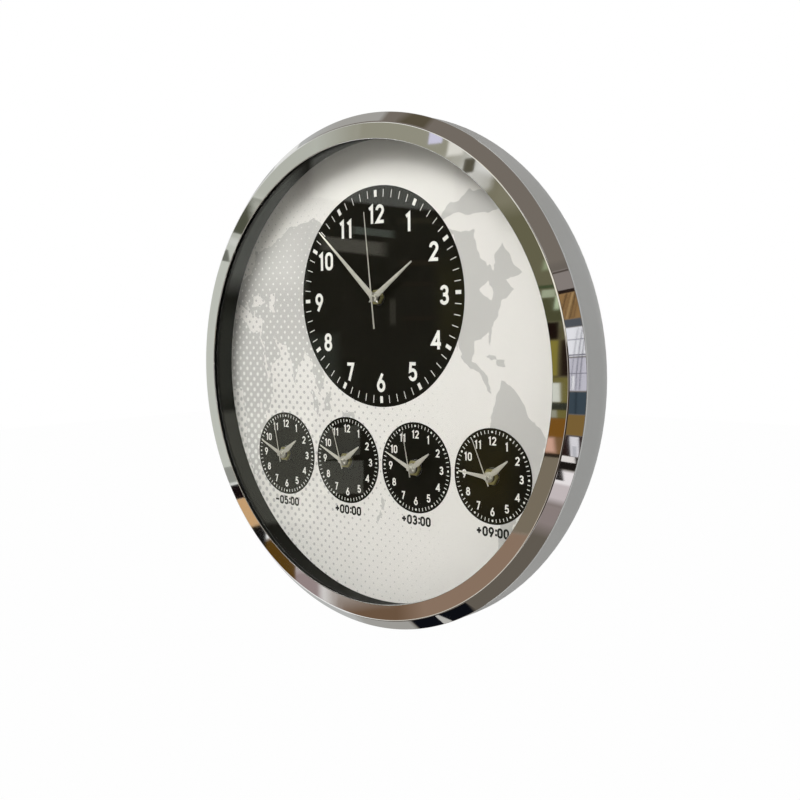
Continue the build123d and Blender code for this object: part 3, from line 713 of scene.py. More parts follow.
def supported(
    profile: list[Point], rounded: dict[int, float], gap: float = 0.08 * MM
) -> list[Point]:
    """Add a point on both sides of every corner to be rounded, so that its flat sides shade flat.

    Args:
        profile: Corners as (radius, depth).
        rounded: How far the rounding of each corner reaches, by the corner's number.
        gap: Distance from the rounding to the added point.

    Returns:
        The profile with the added points.
    """
    result: list[Point] = []
    for number, place in enumerate(profile):
        if number not in rounded:
            result.append(place)
            continue
        corner = Vector(place)
        before = Vector(profile[number - 1])
        after = Vector(profile[(number + 1) % len(profile)])
        reach = rounded[number] + gap
        result.append(tuple(corner + (before - corner).normalized() * reach))
        result.append(place)
        result.append(tuple(corner + (after - corner).normalized() * reach))
    return result


def round_ring(shape: Shape, radius: float, depth: float, amount: float, segments: int) -> None:
    """Round the circular edge at one radius and depth.

    Args:
        shape: The spun shape.
        radius: Radius of the edge.
        depth: Depth of the edge.
        amount: How far the rounding reaches.
        segments: Number of facets across it.
    """

    def on_edge(corner: bmesh.types.BMVert) -> bool:
        """Say whether a corner lies on the edge."""
        away = math.hypot(corner.co.x, corner.co.z) - radius
        return abs(away) < SPIN_SLACK and abs(corner.co.y - depth) < SPIN_SLACK

    edges = [edge for edge in shape.edges if all(on_edge(corner) for corner in edge.verts)]
    bmesh.ops.bevel(
        shape,
        geom=edges,
        offset=amount,
        affect="EDGES",
        segments=segments,
        profile=0.5,
        material=-1,
    )


def bar(
    shape: Shape, middle: Vector, turn: float, width: float, length: float, depth: float
) -> None:
    """Lay a thin bar flat on the dial.

    Args:
        shape: Where the bar goes.
        middle: Middle of the bar.
        turn: Angle of its length, clockwise from twelve.
        width: Width across.
        length: Length along the turn.
        depth: Thickness from front to back.
    """
    size = Matrix.Diagonal((width, depth, length, 1.0))
    place = Matrix.Translation(middle) @ Matrix.Rotation(turn, 4, "Y") @ size
    bmesh.ops.create_cube(shape, size=1.0, matrix=place)


def plate(
    shape: Shape, middle: Vector, turn: float, radius: float, sides: int, depth: float
) -> None:
    """Lay a thin regular plate flat, such as a dot or a triangle.

    Args:
        shape: Where the plate goes.
        middle: Middle of the plate.
        turn: Angle that it is turned by, clockwise seen from the front.
        radius: Distance from its middle to its corners.
        sides: Number of its sides.
        depth: Thickness from front to back.
    """
    facing = Matrix.Rotation(turn, 4, "Y") @ Matrix.Rotation(QUARTER, 4, "X")
    place = Matrix.Translation(middle) @ facing
    bmesh.ops.create_cone(
        shape,
        cap_ends=True,
        segments=sides,
        radius1=radius,
        radius2=radius,
        depth=depth,
        matrix=place,
    )


@dataclass
class Bezel:
    """Chromed ring with a flat front, a bevel, a short rim and the pocket of the glass."""

    shop: Workshop
    opening: float = 179.0 * MM
    crest: float = 191.6 * MM
    outer: float = 200.0 * MM
    front: float = -43.8 * MM
    crest_depth: float = -43.0 * MM
    bevel_back: float = -34.1 * MM
    rim_back: float = -32.8 * MM
    skin: float = 2.4 * MM
    pocket: float = 184.3 * MM
    pocket_rib: float = 2.0 * MM
    glass_front: float = -41.6 * MM
    lip_round: float = 0.45 * MM
    lip_facets: int = 5
    crest_round: float = 0.8 * MM
    crest_facets: int = 6
    rim_round: float = 0.35 * MM
    rim_facets: int = 4
    wall_skin: float = 0.02 * MM
    boss_circle: float = 187.4 * MM
    boss_count: int = 8
    boss_radius: float = 3.0 * MM
    boss_bore: float = 1.35 * MM
    boss_gap: float = 0.1 * MM
    boss_back: float = -17.55 * MM
    boss_steps: int = 32
    steps: int = 360
    sharp: float = 40.0

    def bosses(self, shape: Shape, inside: float) -> None:
        """Stand the screw bosses in the ring.

        Args:
            shape: Where the bosses go.
            inside: Depth of the inside of the front.
        """
        front = inside + self.boss_gap
        tube = [
            (self.boss_bore, front),
            (self.boss_radius, front),
            (self.boss_radius, self.boss_back),
            (self.boss_bore, self.boss_back),
        ]
        for boss in range(self.boss_count):
            turn = math.tau * (boss + 0.5) / self.boss_count
            centre = (self.boss_circle * math.cos(turn), self.boss_circle * math.sin(turn))
            ring(shape, tube, self.boss_steps, centre)

    def build(self) -> None:
        """Spin the section, round its edges, stand the bosses in it and blacken its inner wall."""
        inside = self.crest_depth + self.skin
        section = [
            (self.opening, self.front),
            (self.crest, self.crest_depth),
            (self.outer, self.bevel_back),
            (self.outer, self.rim_back),
            (self.outer - self.skin, self.rim_back),
            (self.outer - self.skin, self.bevel_back),
            (self.crest - self.skin / 2.0, inside),
            (self.pocket + self.pocket_rib, inside),
            (self.pocket + self.pocket_rib, self.rim_back),
            (self.pocket, self.rim_back),
            (self.pocket, self.glass_front),
            (self.opening, self.glass_front),
        ]
        lip, crest, rim = range(3)
        reaches = {lip: self.lip_round, crest: self.crest_round, rim: self.rim_round}
        facets = {crest: self.crest_facets, lip: self.lip_facets, rim: self.rim_facets}
        shape = bmesh.new()
        ring(shape, supported(section, reaches), self.steps)
        for corner, segments in facets.items():
            round_ring(shape, *section[corner], reaches[corner], segments)
        self.bosses(shape, inside)
        for face in shape.faces:
            middle = face.calc_center_median()
            is_wall = math.hypot(middle.x, middle.z) < self.opening + self.wall_skin
            face.material_index = int(is_wall and middle.y > self.front + self.lip_round)
        finishes = ("mirror_chrome", "matt_black")
        made = self.shop.piece(shape, "chrome_bezel", finishes, "chrome_bezel", sharp=self.sharp)
        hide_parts("bezel_ring")


@dataclass(frozen=True)
class StrokeFigures:
    """Bold upright figures drawn as strokes of one width in a box one unit high."""

    stroke: float = 0.175
    width: float = 0.44
    gap: float = 0.07
    one_advance: float = 0.57
    colon_advance: float = 0.31
    arc_step: float = 9.0
    least_steps: int = 6

    @property
    def height(self) -> float:
        """Return the height between the outer middle lines."""
        return 1.0 - self.stroke

    def arc(
        self, x: float, y: float, across: float, upright: float, start: float, end: float
    ) -> list[Point]:
        """Return points of an elliptic arc.

        Args:
            x: Middle of the ellipse from the left.
            y: Middle of the ellipse from below.
            across: Half its width.
            upright: Half its height.
            start: Angle of the first point, in degrees counter-clockwise from the right.
            end: Angle of the last point.

        Returns:
            The points.
        """
        count = max(self.least_steps, int(abs(end - start) / self.arc_step))
        turns = [math.radians(start + (end - start) * step / count) for step in range(count + 1)]
        return [(x + across * math.cos(turn), y + upright * math.sin(turn)) for turn in turns]

    def ellipse(self, x: float, y: float, across: float, upright: float) -> Stroke:
        """Return a closed elliptic stroke, whose last point stops a step before the first."""
        return self.arc(x, y, across, upright, 0, 360 - self.arc_step), True

    def paths(self, figure: str) -> list[Stroke]:
        """Return the strokes of one figure.

        Args:
            figure: One character: a digit, a sign or a colon.

        Returns:
            Each stroke as its points and whether it closes.
        """
        wide, high = self.width, self.height
        half, middle, dot = wide / 2.0, high / 2.0, self.stroke / 2.0
        post, reach = wide * 0.84, half + 0.06
        head = self.arc(half, high - half, half, half, 0, 180)
        foot = self.arc(half, half, half, half, 180, 360)
        hook = self.arc(half, high - half, half, half, 176, -32)
        upper = self.arc(half, high - 0.2, half - 0.03, 0.2, 165, -90)
        lower = self.arc(half, 0.215, half, 0.215, 90, -165)
        bowl = self.arc(half, 0.25, half, 0.25, 118, -160)
        tail = [(half + 0.1, high + dot * 0.9), (0.035, 0.37)]
        six = [self.ellipse(half, 0.25, half, 0.25), (tail, False)]
        nine = [([(wide - x, high - y) for x, y in points], closed) for points, closed in six]
        level_bar = ([(half - reach, middle), (half + reach, middle)], False)
        upright_bar = ([(half, middle - reach), (half, middle + reach)], False)
        return {
            "0": [(head + foot, True)],
            "1": [([(0.02, high - 0.14), (0.22, high - 0.005), (0.22, -dot)], False)],
            "2": [(hook + [(0.02, 0.0), (wide + 0.06, 0.0)], False)],
            "3": [
                (upper + [(half - 0.08, high - 0.4)], False),
                ([(half - 0.08, 0.43)] + lower, False),
            ],
            "4": [
                ([(post, -dot), (post, high + dot * 0.6)], False),
                ([(post + 0.01, high), (-0.03, 0.185), (wide + 0.09, 0.185)], False),
            ],
            "5": [([(wide - 0.01, high), (0.085, high), (0.05, 0.445)] + bowl, False)],
            "6": six,
            "7": [([(-0.02, high), (wide - 0.02, high), (0.12, -dot)], False)],
            "8": [
                self.ellipse(half, high - 0.195, half - 0.035, 0.195),
                self.ellipse(half, 0.22, half, 0.22),
            ],
            "9": nine,
            ":": [([(0.06, level - dot), (0.06, level + dot)], False) for level in (0.16, 0.6)],
            "-": [level_bar],
            "+": [level_bar, upright_bar],
        }[figure]

    def advance(self, figure: str) -> float:
        """Return how far a figure moves the next one on."""
        narrow = {"1": self.one_advance, ":": self.colon_advance}
        return narrow.get(figure, self.width + self.stroke + self.gap)

    def line(self, text: str) -> list[Stroke]:
        """Return the strokes of a centred line of figures, its middle at the origin.

        Args:
            text: The figures.

        Returns:
            The strokes of all of them.
        """
        total = sum(self.advance(figure) for figure in text) - self.gap - self.stroke
        start, strokes = -total / 2.0, []
        for figure in text:
            for points, closed in self.paths(figure):
                strokes.append(([(start + x, y - self.height / 2.0) for x, y in points], closed))
            start += self.advance(figure)
        return strokes


@dataclass(frozen=True)
class TimeDial:
    """Sizes of the print on a time dial, whose hours have bars, or dots where no bar is given."""

    radius: float
    tick_share: float
    tick: Pair
    numeral_reach: Pair
    numeral_height: float
    numeral_drop: float = 0.0
    turn: float = 0.0
    hour_bar: Pair | None = None
    hour_dot: float = 0.85 * MM


@dataclass
class DialPrint:
    """What is printed over the map: time dials, marks, figures and labels."""

    shop: Workshop
    centres: dict[str, Point]
    face: float
    layer: float = 0.04 * MM
    stroke_rise: float = 0.15
    washer: float = 6.5 * MM
    disc_steps: int = 192
    dot_sides: int = 20
    label_drop: float = 41.0 * MM
    label_height: float = 7.6 * MM
    labels: tuple[str, ...] = ("-05:00", "+00:00", "+03:00", "+09:00")
    figures: StrokeFigures = StrokeFigures()
    label_figures: StrokeFigures = StrokeFigures(0.22, 0.45)
    main_dial: TimeDial = TimeDial(
        radius=86.7 * MM,
        tick_share=0.966,
        tick=(0.6 * MM, 6.0 * MM),
        numeral_reach=(67.2 * MM, 66.1 * MM),
        numeral_height=14.7 * MM,
        numeral_drop=1.4 * MM,
        turn=math.radians(1.5),
        hour_bar=(2.9 * MM, 5.3 * MM),
    )
    zone_dial: TimeDial = TimeDial(
        radius=35.4 * MM,
        tick_share=0.955,
        tick=(0.55 * MM, 2.5 * MM),
        numeral_reach=(26.0 * MM, 26.0 * MM),
        numeral_height=6.3 * MM,
    )

    def dials(self) -> list[tuple[str, Point, TimeDial]]:
        """Return the name, the centre and the sizes of every time dial."""
        sizes = {MAIN: self.main_dial}
        return [
            (name, centre, sizes.get(name, self.zone_dial))
            for name, centre in self.centres.items()
        ]

    def strokes(
        self,
        name: str,
        lines: list[tuple[str, Point, float]],
        back: float,
        finish: str,
        figures: StrokeFigures,
    ) -> None:
        """Print lines of figures as thin strokes, each stroke of a line a little over the last one.

        Args:
            name: Name of the piece.
            lines: Each line's text, its middle as (x, z) and its height.
            back: Depth of the surface under the print.
            finish: Finish of the ink.
            figures: How the figures are drawn.
        """
        whole = bmesh.new()
        for text, (x, z), height in lines:
            shape = bmesh.new()
            for order, (points, closed) in enumerate(figures.line(text)):
                places = [(x + across * height, back, z + up * height) for across, up in points]
                edges = chain(shape, [shape.verts.new(place) for place in places], closed)
                walls = bmesh.ops.extrude_edge_only(shape, edges=edges)
                push_forward(shape, walls, self.layer * (1.0 + self.stroke_rise * order))
            bmesh.ops.recalc_face_normals(shape, faces=shape.faces)
            self.thicken(shape, figures.stroke * height, whole)
        self.shop.piece(whole, name, (finish,), "dial_paper")

    @staticmethod
    def thicken(shape: Shape, width: float, whole: Shape) -> None:
        """Give the walls of a line their stroke width and add them to the whole print.

        Args:
            shape: Walls along the middle of each stroke.
            width: Stroke width.
            whole: Where the finished strokes go.
        """
        mesh = settle(shape, "stroke_walls")
        thing = stand("stroke_walls", mesh)
        solid = thing.modifiers.new("stroke", "SOLIDIFY")
        solid.thickness = width
        solid.offset = 0.0
        solid.use_even_offset = True
        bpy.context.view_layer.update()
        finished = thing.evaluated_get(bpy.context.evaluated_depsgraph_get())
        ready = bpy.data.meshes.new_from_object(finished)
        whole.from_mesh(ready)
        bpy.data.objects.remove(thing)
        bpy.data.meshes.remove(mesh)
        bpy.data.meshes.remove(ready)

    def black_discs(self) -> None:
        """Print the five black time dials, each open under its washer."""
        front = self.face - self.layer
        for name, centre, dial in self.dials():
            inner, outer = self.washer, dial.radius
            section = [(inner, self.face), (outer, self.face), (outer, front), (inner, front)]
            shape = bmesh.new()
            ring(shape, section, self.disc_steps, centre)
            self.shop.piece(shape, f"{name}_time_dial", ("black_ink",), "dial_paper")

    def marks(self) -> None:
        """Print the minute ticks, and bars or dots at the hours, of the five time dials."""
        depth = self.face - 1.5 * self.layer
        for name, (x, z), dial in self.dials():
            width, length = dial.tick
            reach = dial.radius * dial.tick_share - length / 2.0
            shape = bmesh.new()
            for minute in range(MINUTES):
                turn = math.tau * minute / MINUTES - dial.turn
                place = Vector((x + reach * math.sin(turn), depth, z + reach * math.cos(turn)))
                if minute % (MINUTES // HOURS):
                    bar(shape, place, turn, width, length, self.layer)
                elif dial.hour_bar:
                    bar(shape, place, turn, *dial.hour_bar, self.layer)
                else:
                    plate(shape, place, 0.0, dial.hour_dot, self.dot_sides, self.layer)
            self.shop.piece(shape, f"{name}_marks", ("white_ink",), "dial_paper")

    def numerals(self) -> None:
        """Print one to twelve upright on every time dial."""
        back = self.face - self.layer
        for name, (x, z), dial in self.dials():
            across, upright = dial.numeral_reach
            level = z - dial.numeral_drop
            lines = []
            for hour in range(1, HOURS + 1):
                turn = math.tau * hour / HOURS - dial.turn
                middle = (x + across * math.sin(turn), level + upright * math.cos(turn))
                lines.append((str(hour), middle, dial.numeral_height))
            self.strokes(f"{name}_numerals", lines, back, "white_ink", self.figures)

    def zone_labels(self) -> None:
        """Print the offset of each zone under its time dial."""
        for name, label in zip(ZONES, self.labels):
            x, z = self.centres[name]
            lines = [(label, (x, z - self.label_drop), self.label_height)]
            self.strokes(f"{name}_label", lines, self.face, "label_ink", self.label_figures)

    def build(self) -> None:
        """Print the dial from the back forwards."""
        self.black_discs()
        self.marks()
        self.numerals()
        self.zone_labels()


# Corners of each land and each water in it, drawn in degrees east and north.
LANDS: dict[str, tuple[Point, ...]] = {
    "land_south_west": (
        (-6, 35), (10, 37), (20, 31), (32, 31), (38, 18), (43, 11), (51, 12), (46, 3), (40, -4),
        (40, -15), (35, -24), (28, -33), (19, -34), (12, -17), (13, -6), (9, 4), (-8, 5), (-14, 12),
        (-14, 22), (-10, 30),
    ),
    "land_north_west": (
        (-9, 37), (-9, 43), (-1, 44), (-4, 48), (4, 52), (9, 54), (20, 55), (30, 60), (31, 66),
        (44, 67), (60, 69), (70, 73), (100, 77), (113, 74), (130, 71), (160, 70), (178, 67),
        (163, 60), (156, 51), (155, 60), (140, 57), (135, 43), (126, 35), (119, 38), (122, 31),
        (115, 22), (108, 21), (109, 12), (104, 3), (99, 8), (97, 17), (90, 22), (80, 15), (77, 8),
        (73, 17), (67, 25), (57, 26), (51, 29), (59, 21), (45, 13), (35, 28), (36, 36), (27, 37),
        (28, 41), (23, 38), (13, 45), (16, 39), (3, 43),
    ),
    "land_north_east": (
        (-168, 66), (-156, 71), (-130, 70), (-115, 68), (-95, 68), (-94, 60), (-85, 56), (-80, 52),
        (-78, 58), (-70, 61), (-64, 58), (-56, 52), (-66, 49), (-60, 46), (-70, 42), (-76, 36),
        (-81, 31), (-81, 25), (-84, 30), (-97, 27), (-97, 20), (-88, 16), (-83, 14), (-82, 9),
        (-85, 10), (-95, 16), (-105, 20), (-112, 29), (-110, 23), (-117, 33), (-124, 40),
        (-124, 48), (-135, 58), (-150, 60), (-165, 61),
    ),
    "land_arctic": (
        (-125, 72), (-110, 73), (-95, 73), (-80, 73), (-68, 76), (-62, 82), (-90, 82), (-115, 78),
    ),
    "land_ice": (
        (-45, 60), (-52, 66), (-55, 70), (-68, 76), (-58, 80), (-34, 80), (-22, 76), (-24, 70),
        (-38, 65),
    ),
    "land_south_east": (
        (-78, 8), (-72, 12), (-60, 9), (-50, 1), (-35, -6), (-39, -14), (-41, -22), (-48, -27),
        (-57, -36), (-65, -42), (-68, -52), (-74, -52), (-74, -40), (-71, -28), (-71, -18),
        (-80, -6), (-80, 1),
    ),
    "land_south": (
        (114, -22), (122, -17), (130, -12), (136, -14), (142, -11), (146, -19), (153, -26),
        (150, -37), (141, -38), (136, -34), (130, -32), (116, -35),
    ),
    "land_south_isle": ((44, -17), (50, -15), (47, -25), (44, -23)),
    "land_long_isle": ((95, 6), (100, 3), (106, -3), (105, -6), (100, -2), (96, 3)),
    "land_broad_isle": ((109, 1), (113, 4), (117, 7), (119, 4), (117, -3), (111, -3)),
    "land_bird_isle": ((131, -1), (138, -2), (146, -6), (150, -10), (143, -9), (137, -7)),
    "land_far_isle_north": ((173, -35), (178, -38), (176, -41), (174, -40)),
    "land_far_isle_south": ((173, -41), (174, -43), (168, -47), (167, -45)),
    "land_slim_isle": ((-85, 22), (-80, 23), (-74, 20), (-78, 20)),
    "land_small_isle": ((-74, 20), (-69, 20), (-69, 18), (-74, 18)),
    "water_bay": ((-92, 62), (-86, 64), (-79, 62), (-79, 56), (-84, 54), (-91, 57)),
    "water_lakes": ((-91, 47), (-84, 49), (-79, 45), (-80, 42), (-86, 44)),
    "water_west_lake": ((-122, 65), (-115, 66), (-112, 62), (-118, 60)),
    "water_black": ((28, 45), (35, 47), (41, 43), (34, 41), (28, 42)),
    "water_inland": ((48, 46), (53, 46), (53, 38), (49, 38)),
    "water_rift": ((31, 1), (34, 1), (34, -3), (31, -3)),
}


@dataclass
class WorldMap:
    """Plain coarse land outlines in a layout of its own, centred on the Pacific."""

    shop: Workshop
    face: float
    edge: float = 182.0 * MM
    layer: float = 0.02 * MM
    water_rise: float = 1.5
    middle_longitude: float = 172.0
    west_edge: float = -21.0
    across: float = 1.03 * MM
    upright: float = 2.0 * MM
    drop: float = 28.0 * MM
    coast_step: float = 1.3 * MM
    sway: float = 3.6 * MM
    sway_length: float = 15.0 * MM
    sway_octaves: int = 4
    sway_fade: float = 0.55
    sway_growth: float = 2.2
    sway_shifts: tuple[Place, Place] = ((4.2, 0.0, 7.1), (-31.5, 12.4, 3.3))

    def drawn_in(self, x: float, z: float) -> Vector:
        """Return a point on the paper, drawn in to the edge where it lies past it.

        Args:
            x: Place from the middle of the clock to the right.
            z: Place from the middle of the clock upwards.

        Returns:
            The point.
        """
        spot = Vector((x, 0.0, z))
        if spot.length > self.edge:
            spot *= self.edge / spot.length
        return Vector((spot.x, self.face, spot.z))

    def place(self, east: float, north: float) -> Vector:
        """Return where a corner falls on the dial."""
        turned = (east - self.west_edge) % 360.0 + self.west_edge - self.middle_longitude
        return self.drawn_in(turned * self.across, north * self.upright - self.drop)

    def ragged(self, spot: Vector) -> Vector:
        """Return where a point of a coast falls once a steady noise field has moved it.

        Args:
            spot: The point on the straight run between two corners.

        Returns:
            The point on the ragged coast.
        """
        across, upright = (
            self.sway
            * noise.turbulence(
                spot / self.sway_length + Vector(shift),
                self.sway_octaves,
                False,
                amplitude_scale=self.sway_fade,
                frequency_scale=self.sway_growth,
            )
            for shift in self.sway_shifts
        )
        return self.drawn_in(spot.x + across, spot.z + upright)

    def build(self) -> None:
        """Print each land as one thin sheet with a ragged coast, and each water a little higher."""
        for name, corners in LANDS.items():
            is_water = name.startswith("water")
            finish = "dial_paper" if is_water else "land_print"
            shape = bmesh.new()
            chain(shape, [shape.verts.new(self.place(*corner)) for corner in corners])
            while long_runs := [run for run in shape.edges if run.calc_length() > self.coast_step]:
                bmesh.ops.subdivide_edges(shape, edges=long_runs, cuts=1)
            for corner in shape.verts:
                corner.co = self.ragged(corner.co)
            bmesh.ops.triangle_fill(
                shape, use_beauty=True, edges=list(shape.edges), normal=(0.0, -1.0, 0.0)
            )
            sheet = list(shape.faces)
            raised = bmesh.ops.extrude_face_region(shape, geom=sheet, use_keep_orig=True)
            push_forward(shape, raised, self.layer * (self.water_rise if is_water else 1.0))
            self.shop.piece(shape, name, (finish,), "dial_paper")


@dataclass
class PackedPieces:
    """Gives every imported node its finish, by its name or by the ending of its name."""

    shop: Workshop
    named: dict[str, str] = field(
        default_factory=lambda: {
            "bezel_ring": "mirror_chrome",
            "case_ring": "satin_silver",
            "lens_glass": "window_glass",
            "lens_gasket": "soft_rubber",
            "inner_ring": "matt_black",
            "dial_sheet": "dial_paper",
            "dial_board": "pressed_board",
            "movement_housings": "black_moulding",
            "movement_covers": "black_moulding",
            "rubber_washers": "soft_rubber",
            "fixing_washers": "black_washer",
            "fixing_nuts": "turned_brass",
            "circuit_boards": "board_green",
            "drive_coils": "enamelled_copper",
            "main_rotor": "dark_magnet",
        }
    )
    endings: tuple[tuple[str, str], ...] = (
        ("_hand", "satin_hand"),
        ("_knob", "knob_moulding"),
        ("_wheel", "milky_wheel"),
        ("_pinion", "milky_wheel"),
    )
    other: str = "zinc_steel"

    def finish_of(self, node: str) -> str:
        """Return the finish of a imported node."""
        by_ending = (finish for ending, finish in self.endings if node.endswith(ending))
        return self.named.get(node, next(by_ending, self.other))

    def build(self) -> None:
        """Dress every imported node."""
        for node in sorted(frame["nodes"]):
            self.shop.dress(node, self.finish_of(node))


@dataclass
class SleevedCells:
    """The five cells in their printed sleeves, as they lie in the backs of the movements."""

    shop: Workshop
    centres: dict[str, Point]
    cell_radius: float = 7.1 * MM
    cell_half: float = 25.25 * MM
    cell_depth: float = -8.3 * MM
    cell_drop: float = 18.5 * MM
    cell_round: float = 0.2 * MM
    cell_steps: int = 64
    base_groove: tuple[float, ...] = (0.68, 0.7, 0.78, 0.8)
    base_flat: float = 0.93
    shoulder_shares: tuple[float, ...] = (0.97, 0.9, 0.72)
    nub_radius: float = 2.75 * MM
    nub_length: float = 1.0 * MM
    sleeve_lap: float = 1.3 * MM
    band_start: float = 9.0 * MM
    sign_length: float = 3.4 * MM
    sign_width: float = 0.8 * MM
    sign_layer: float = 0.06 * MM
    sign_rise: float = 1.2
    sign_cuts: int = 5
    plus_place: float = 16.0 * MM
    minus_place: float = -19.0 * MM

    def cell_profile(self, shoulder: float, sleeve: Pair) -> list[Point]:
        """Return half the outline of a cell, from the middle of its base to the middle of its nub.

        Args:
            shoulder: Where along the cell its shoulder ends and the nub begins.
            sleeve: Where along the cell its sleeve begins and ends.

        Returns:
            Corners as (radius, place along the cell).
        """
        radius, half = self.cell_radius, self.cell_half
        nub, small = self.nub_radius, self.cell_round
        groove = [share * radius for share in self.base_groove]
        first, second, third = (share * radius for share in self.shoulder_shares)
        base = [
            (0.0, -half),
            (groove[0], -half),
            (groove[1], small - half),
            (groove[2], small - half),
            (groove[3], -half),
            (self.base_flat * radius, -half),
            (radius, 2.5 * small - half),
        ]
        sides = [(radius, sleeve[0]), (radius, self.band_start), (radius, sleeve[1])]
        top = [(first, shoulder - 2.0 * small), (second, shoulder - small), (third, shoulder)]
        tip = [
            (nub + small, shoulder),
            (nub, shoulder + small),
            (nub, half - small),
            (nub - small, half),
            (0.0, half),
        ]
        return base + sides + top + tip

    def cells(self) -> None:
        """Turn the five cells, each with its sleeve, a dark band at the nub and bare steel ends."""
        grey, teal, steel = range(3)
        shoulder = self.cell_half - self.nub_length
        sleeve = (self.sleeve_lap - self.cell_half, shoulder - self.sleeve_lap)
        profile = self.cell_profile(shoulder, sleeve)
        across = Matrix.Rotation(-QUARTER, 4, "Z")
        shape = bmesh.new()
        for x, z in self.centres.values():
            faces = ring(shape, profile, self.cell_steps, closed=False)
            for face in faces:
                along = face.calc_center_median().y
                is_bare = not sleeve[0] - self.sleeve_lap / 2.0 < along < shoulder - self.cell_round
                sleeve_tone = teal if along > self.band_start else grey
                face.material_index = steel if is_bare else sleeve_tone
            lying = Matrix.Translation((x, self.cell_depth, z - self.cell_drop)) @ across
            corners = {corner for face in faces for corner in face.verts}
            bmesh.ops.transform(shape, matrix=lying, verts=list(corners))
        finishes = ("cell_sleeve_grey", "cell_sleeve_teal", "zinc_steel")
        made = self.shop.piece(shape, "sleeved_cells", finishes, "cell_sleeve")
        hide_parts("batteries")

    def sign_bar(self, whole: Shape, x: float, z: float, is_upright: bool) -> None:
        """Print one bar of a sign round the sleeve of a cell.

        Args:
            whole: Where the bar goes.
            x: Middle of the bar along the cell.
            z: Height of the cell's axis.
            is_upright: Whether the bar goes round the cell, and not along it.
        """
        layer = self.sign_layer * (self.sign_rise if is_upright else 1.0)
        shape = bmesh.new()
        turn = 0.0 if is_upright else QUARTER
        bar(shape, Vector(), turn, self.sign_width, self.sign_length, layer)
        edges = list(shape.edges)
        bmesh.ops.subdivide_edges(shape, edges=edges, cuts=self.sign_cuts, use_grid_fill=True)
        for corner in shape.verts:
            reach = self.cell_radius + layer / 2.0 + corner.co.y
            corner.co.y = math.sqrt(reach**2 - corner.co.z**2)
        bmesh.ops.translate(shape, verts=list(shape.verts), vec=(x, self.cell_depth, z))
        mesh = settle(shape, "sign_bar")
        whole.from_mesh(mesh)
        bpy.data.meshes.remove(mesh)

    def signs(self) -> None:
        """Print a plus and a minus on every sleeve."""
        pale, dark = bmesh.new(), bmesh.new()
        for x, z in self.centres.values():
            level = z - self.cell_drop
            self.sign_bar(pale, x + self.plus_place, level, True)
            self.sign_bar(pale, x + self.plus_place, level, False)
            self.sign_bar(dark, x + self.minus_place, level, False)
        self.shop.piece(pale, "cell_plus_signs", ("white_ink",), "cell_sleeve")
        self.shop.piece(dark, "cell_minus_signs", ("label_ink",), "cell_sleeve")

    def build(self) -> None:
        """Turn the cells and print their signs."""
        self.cells()
        self.signs()


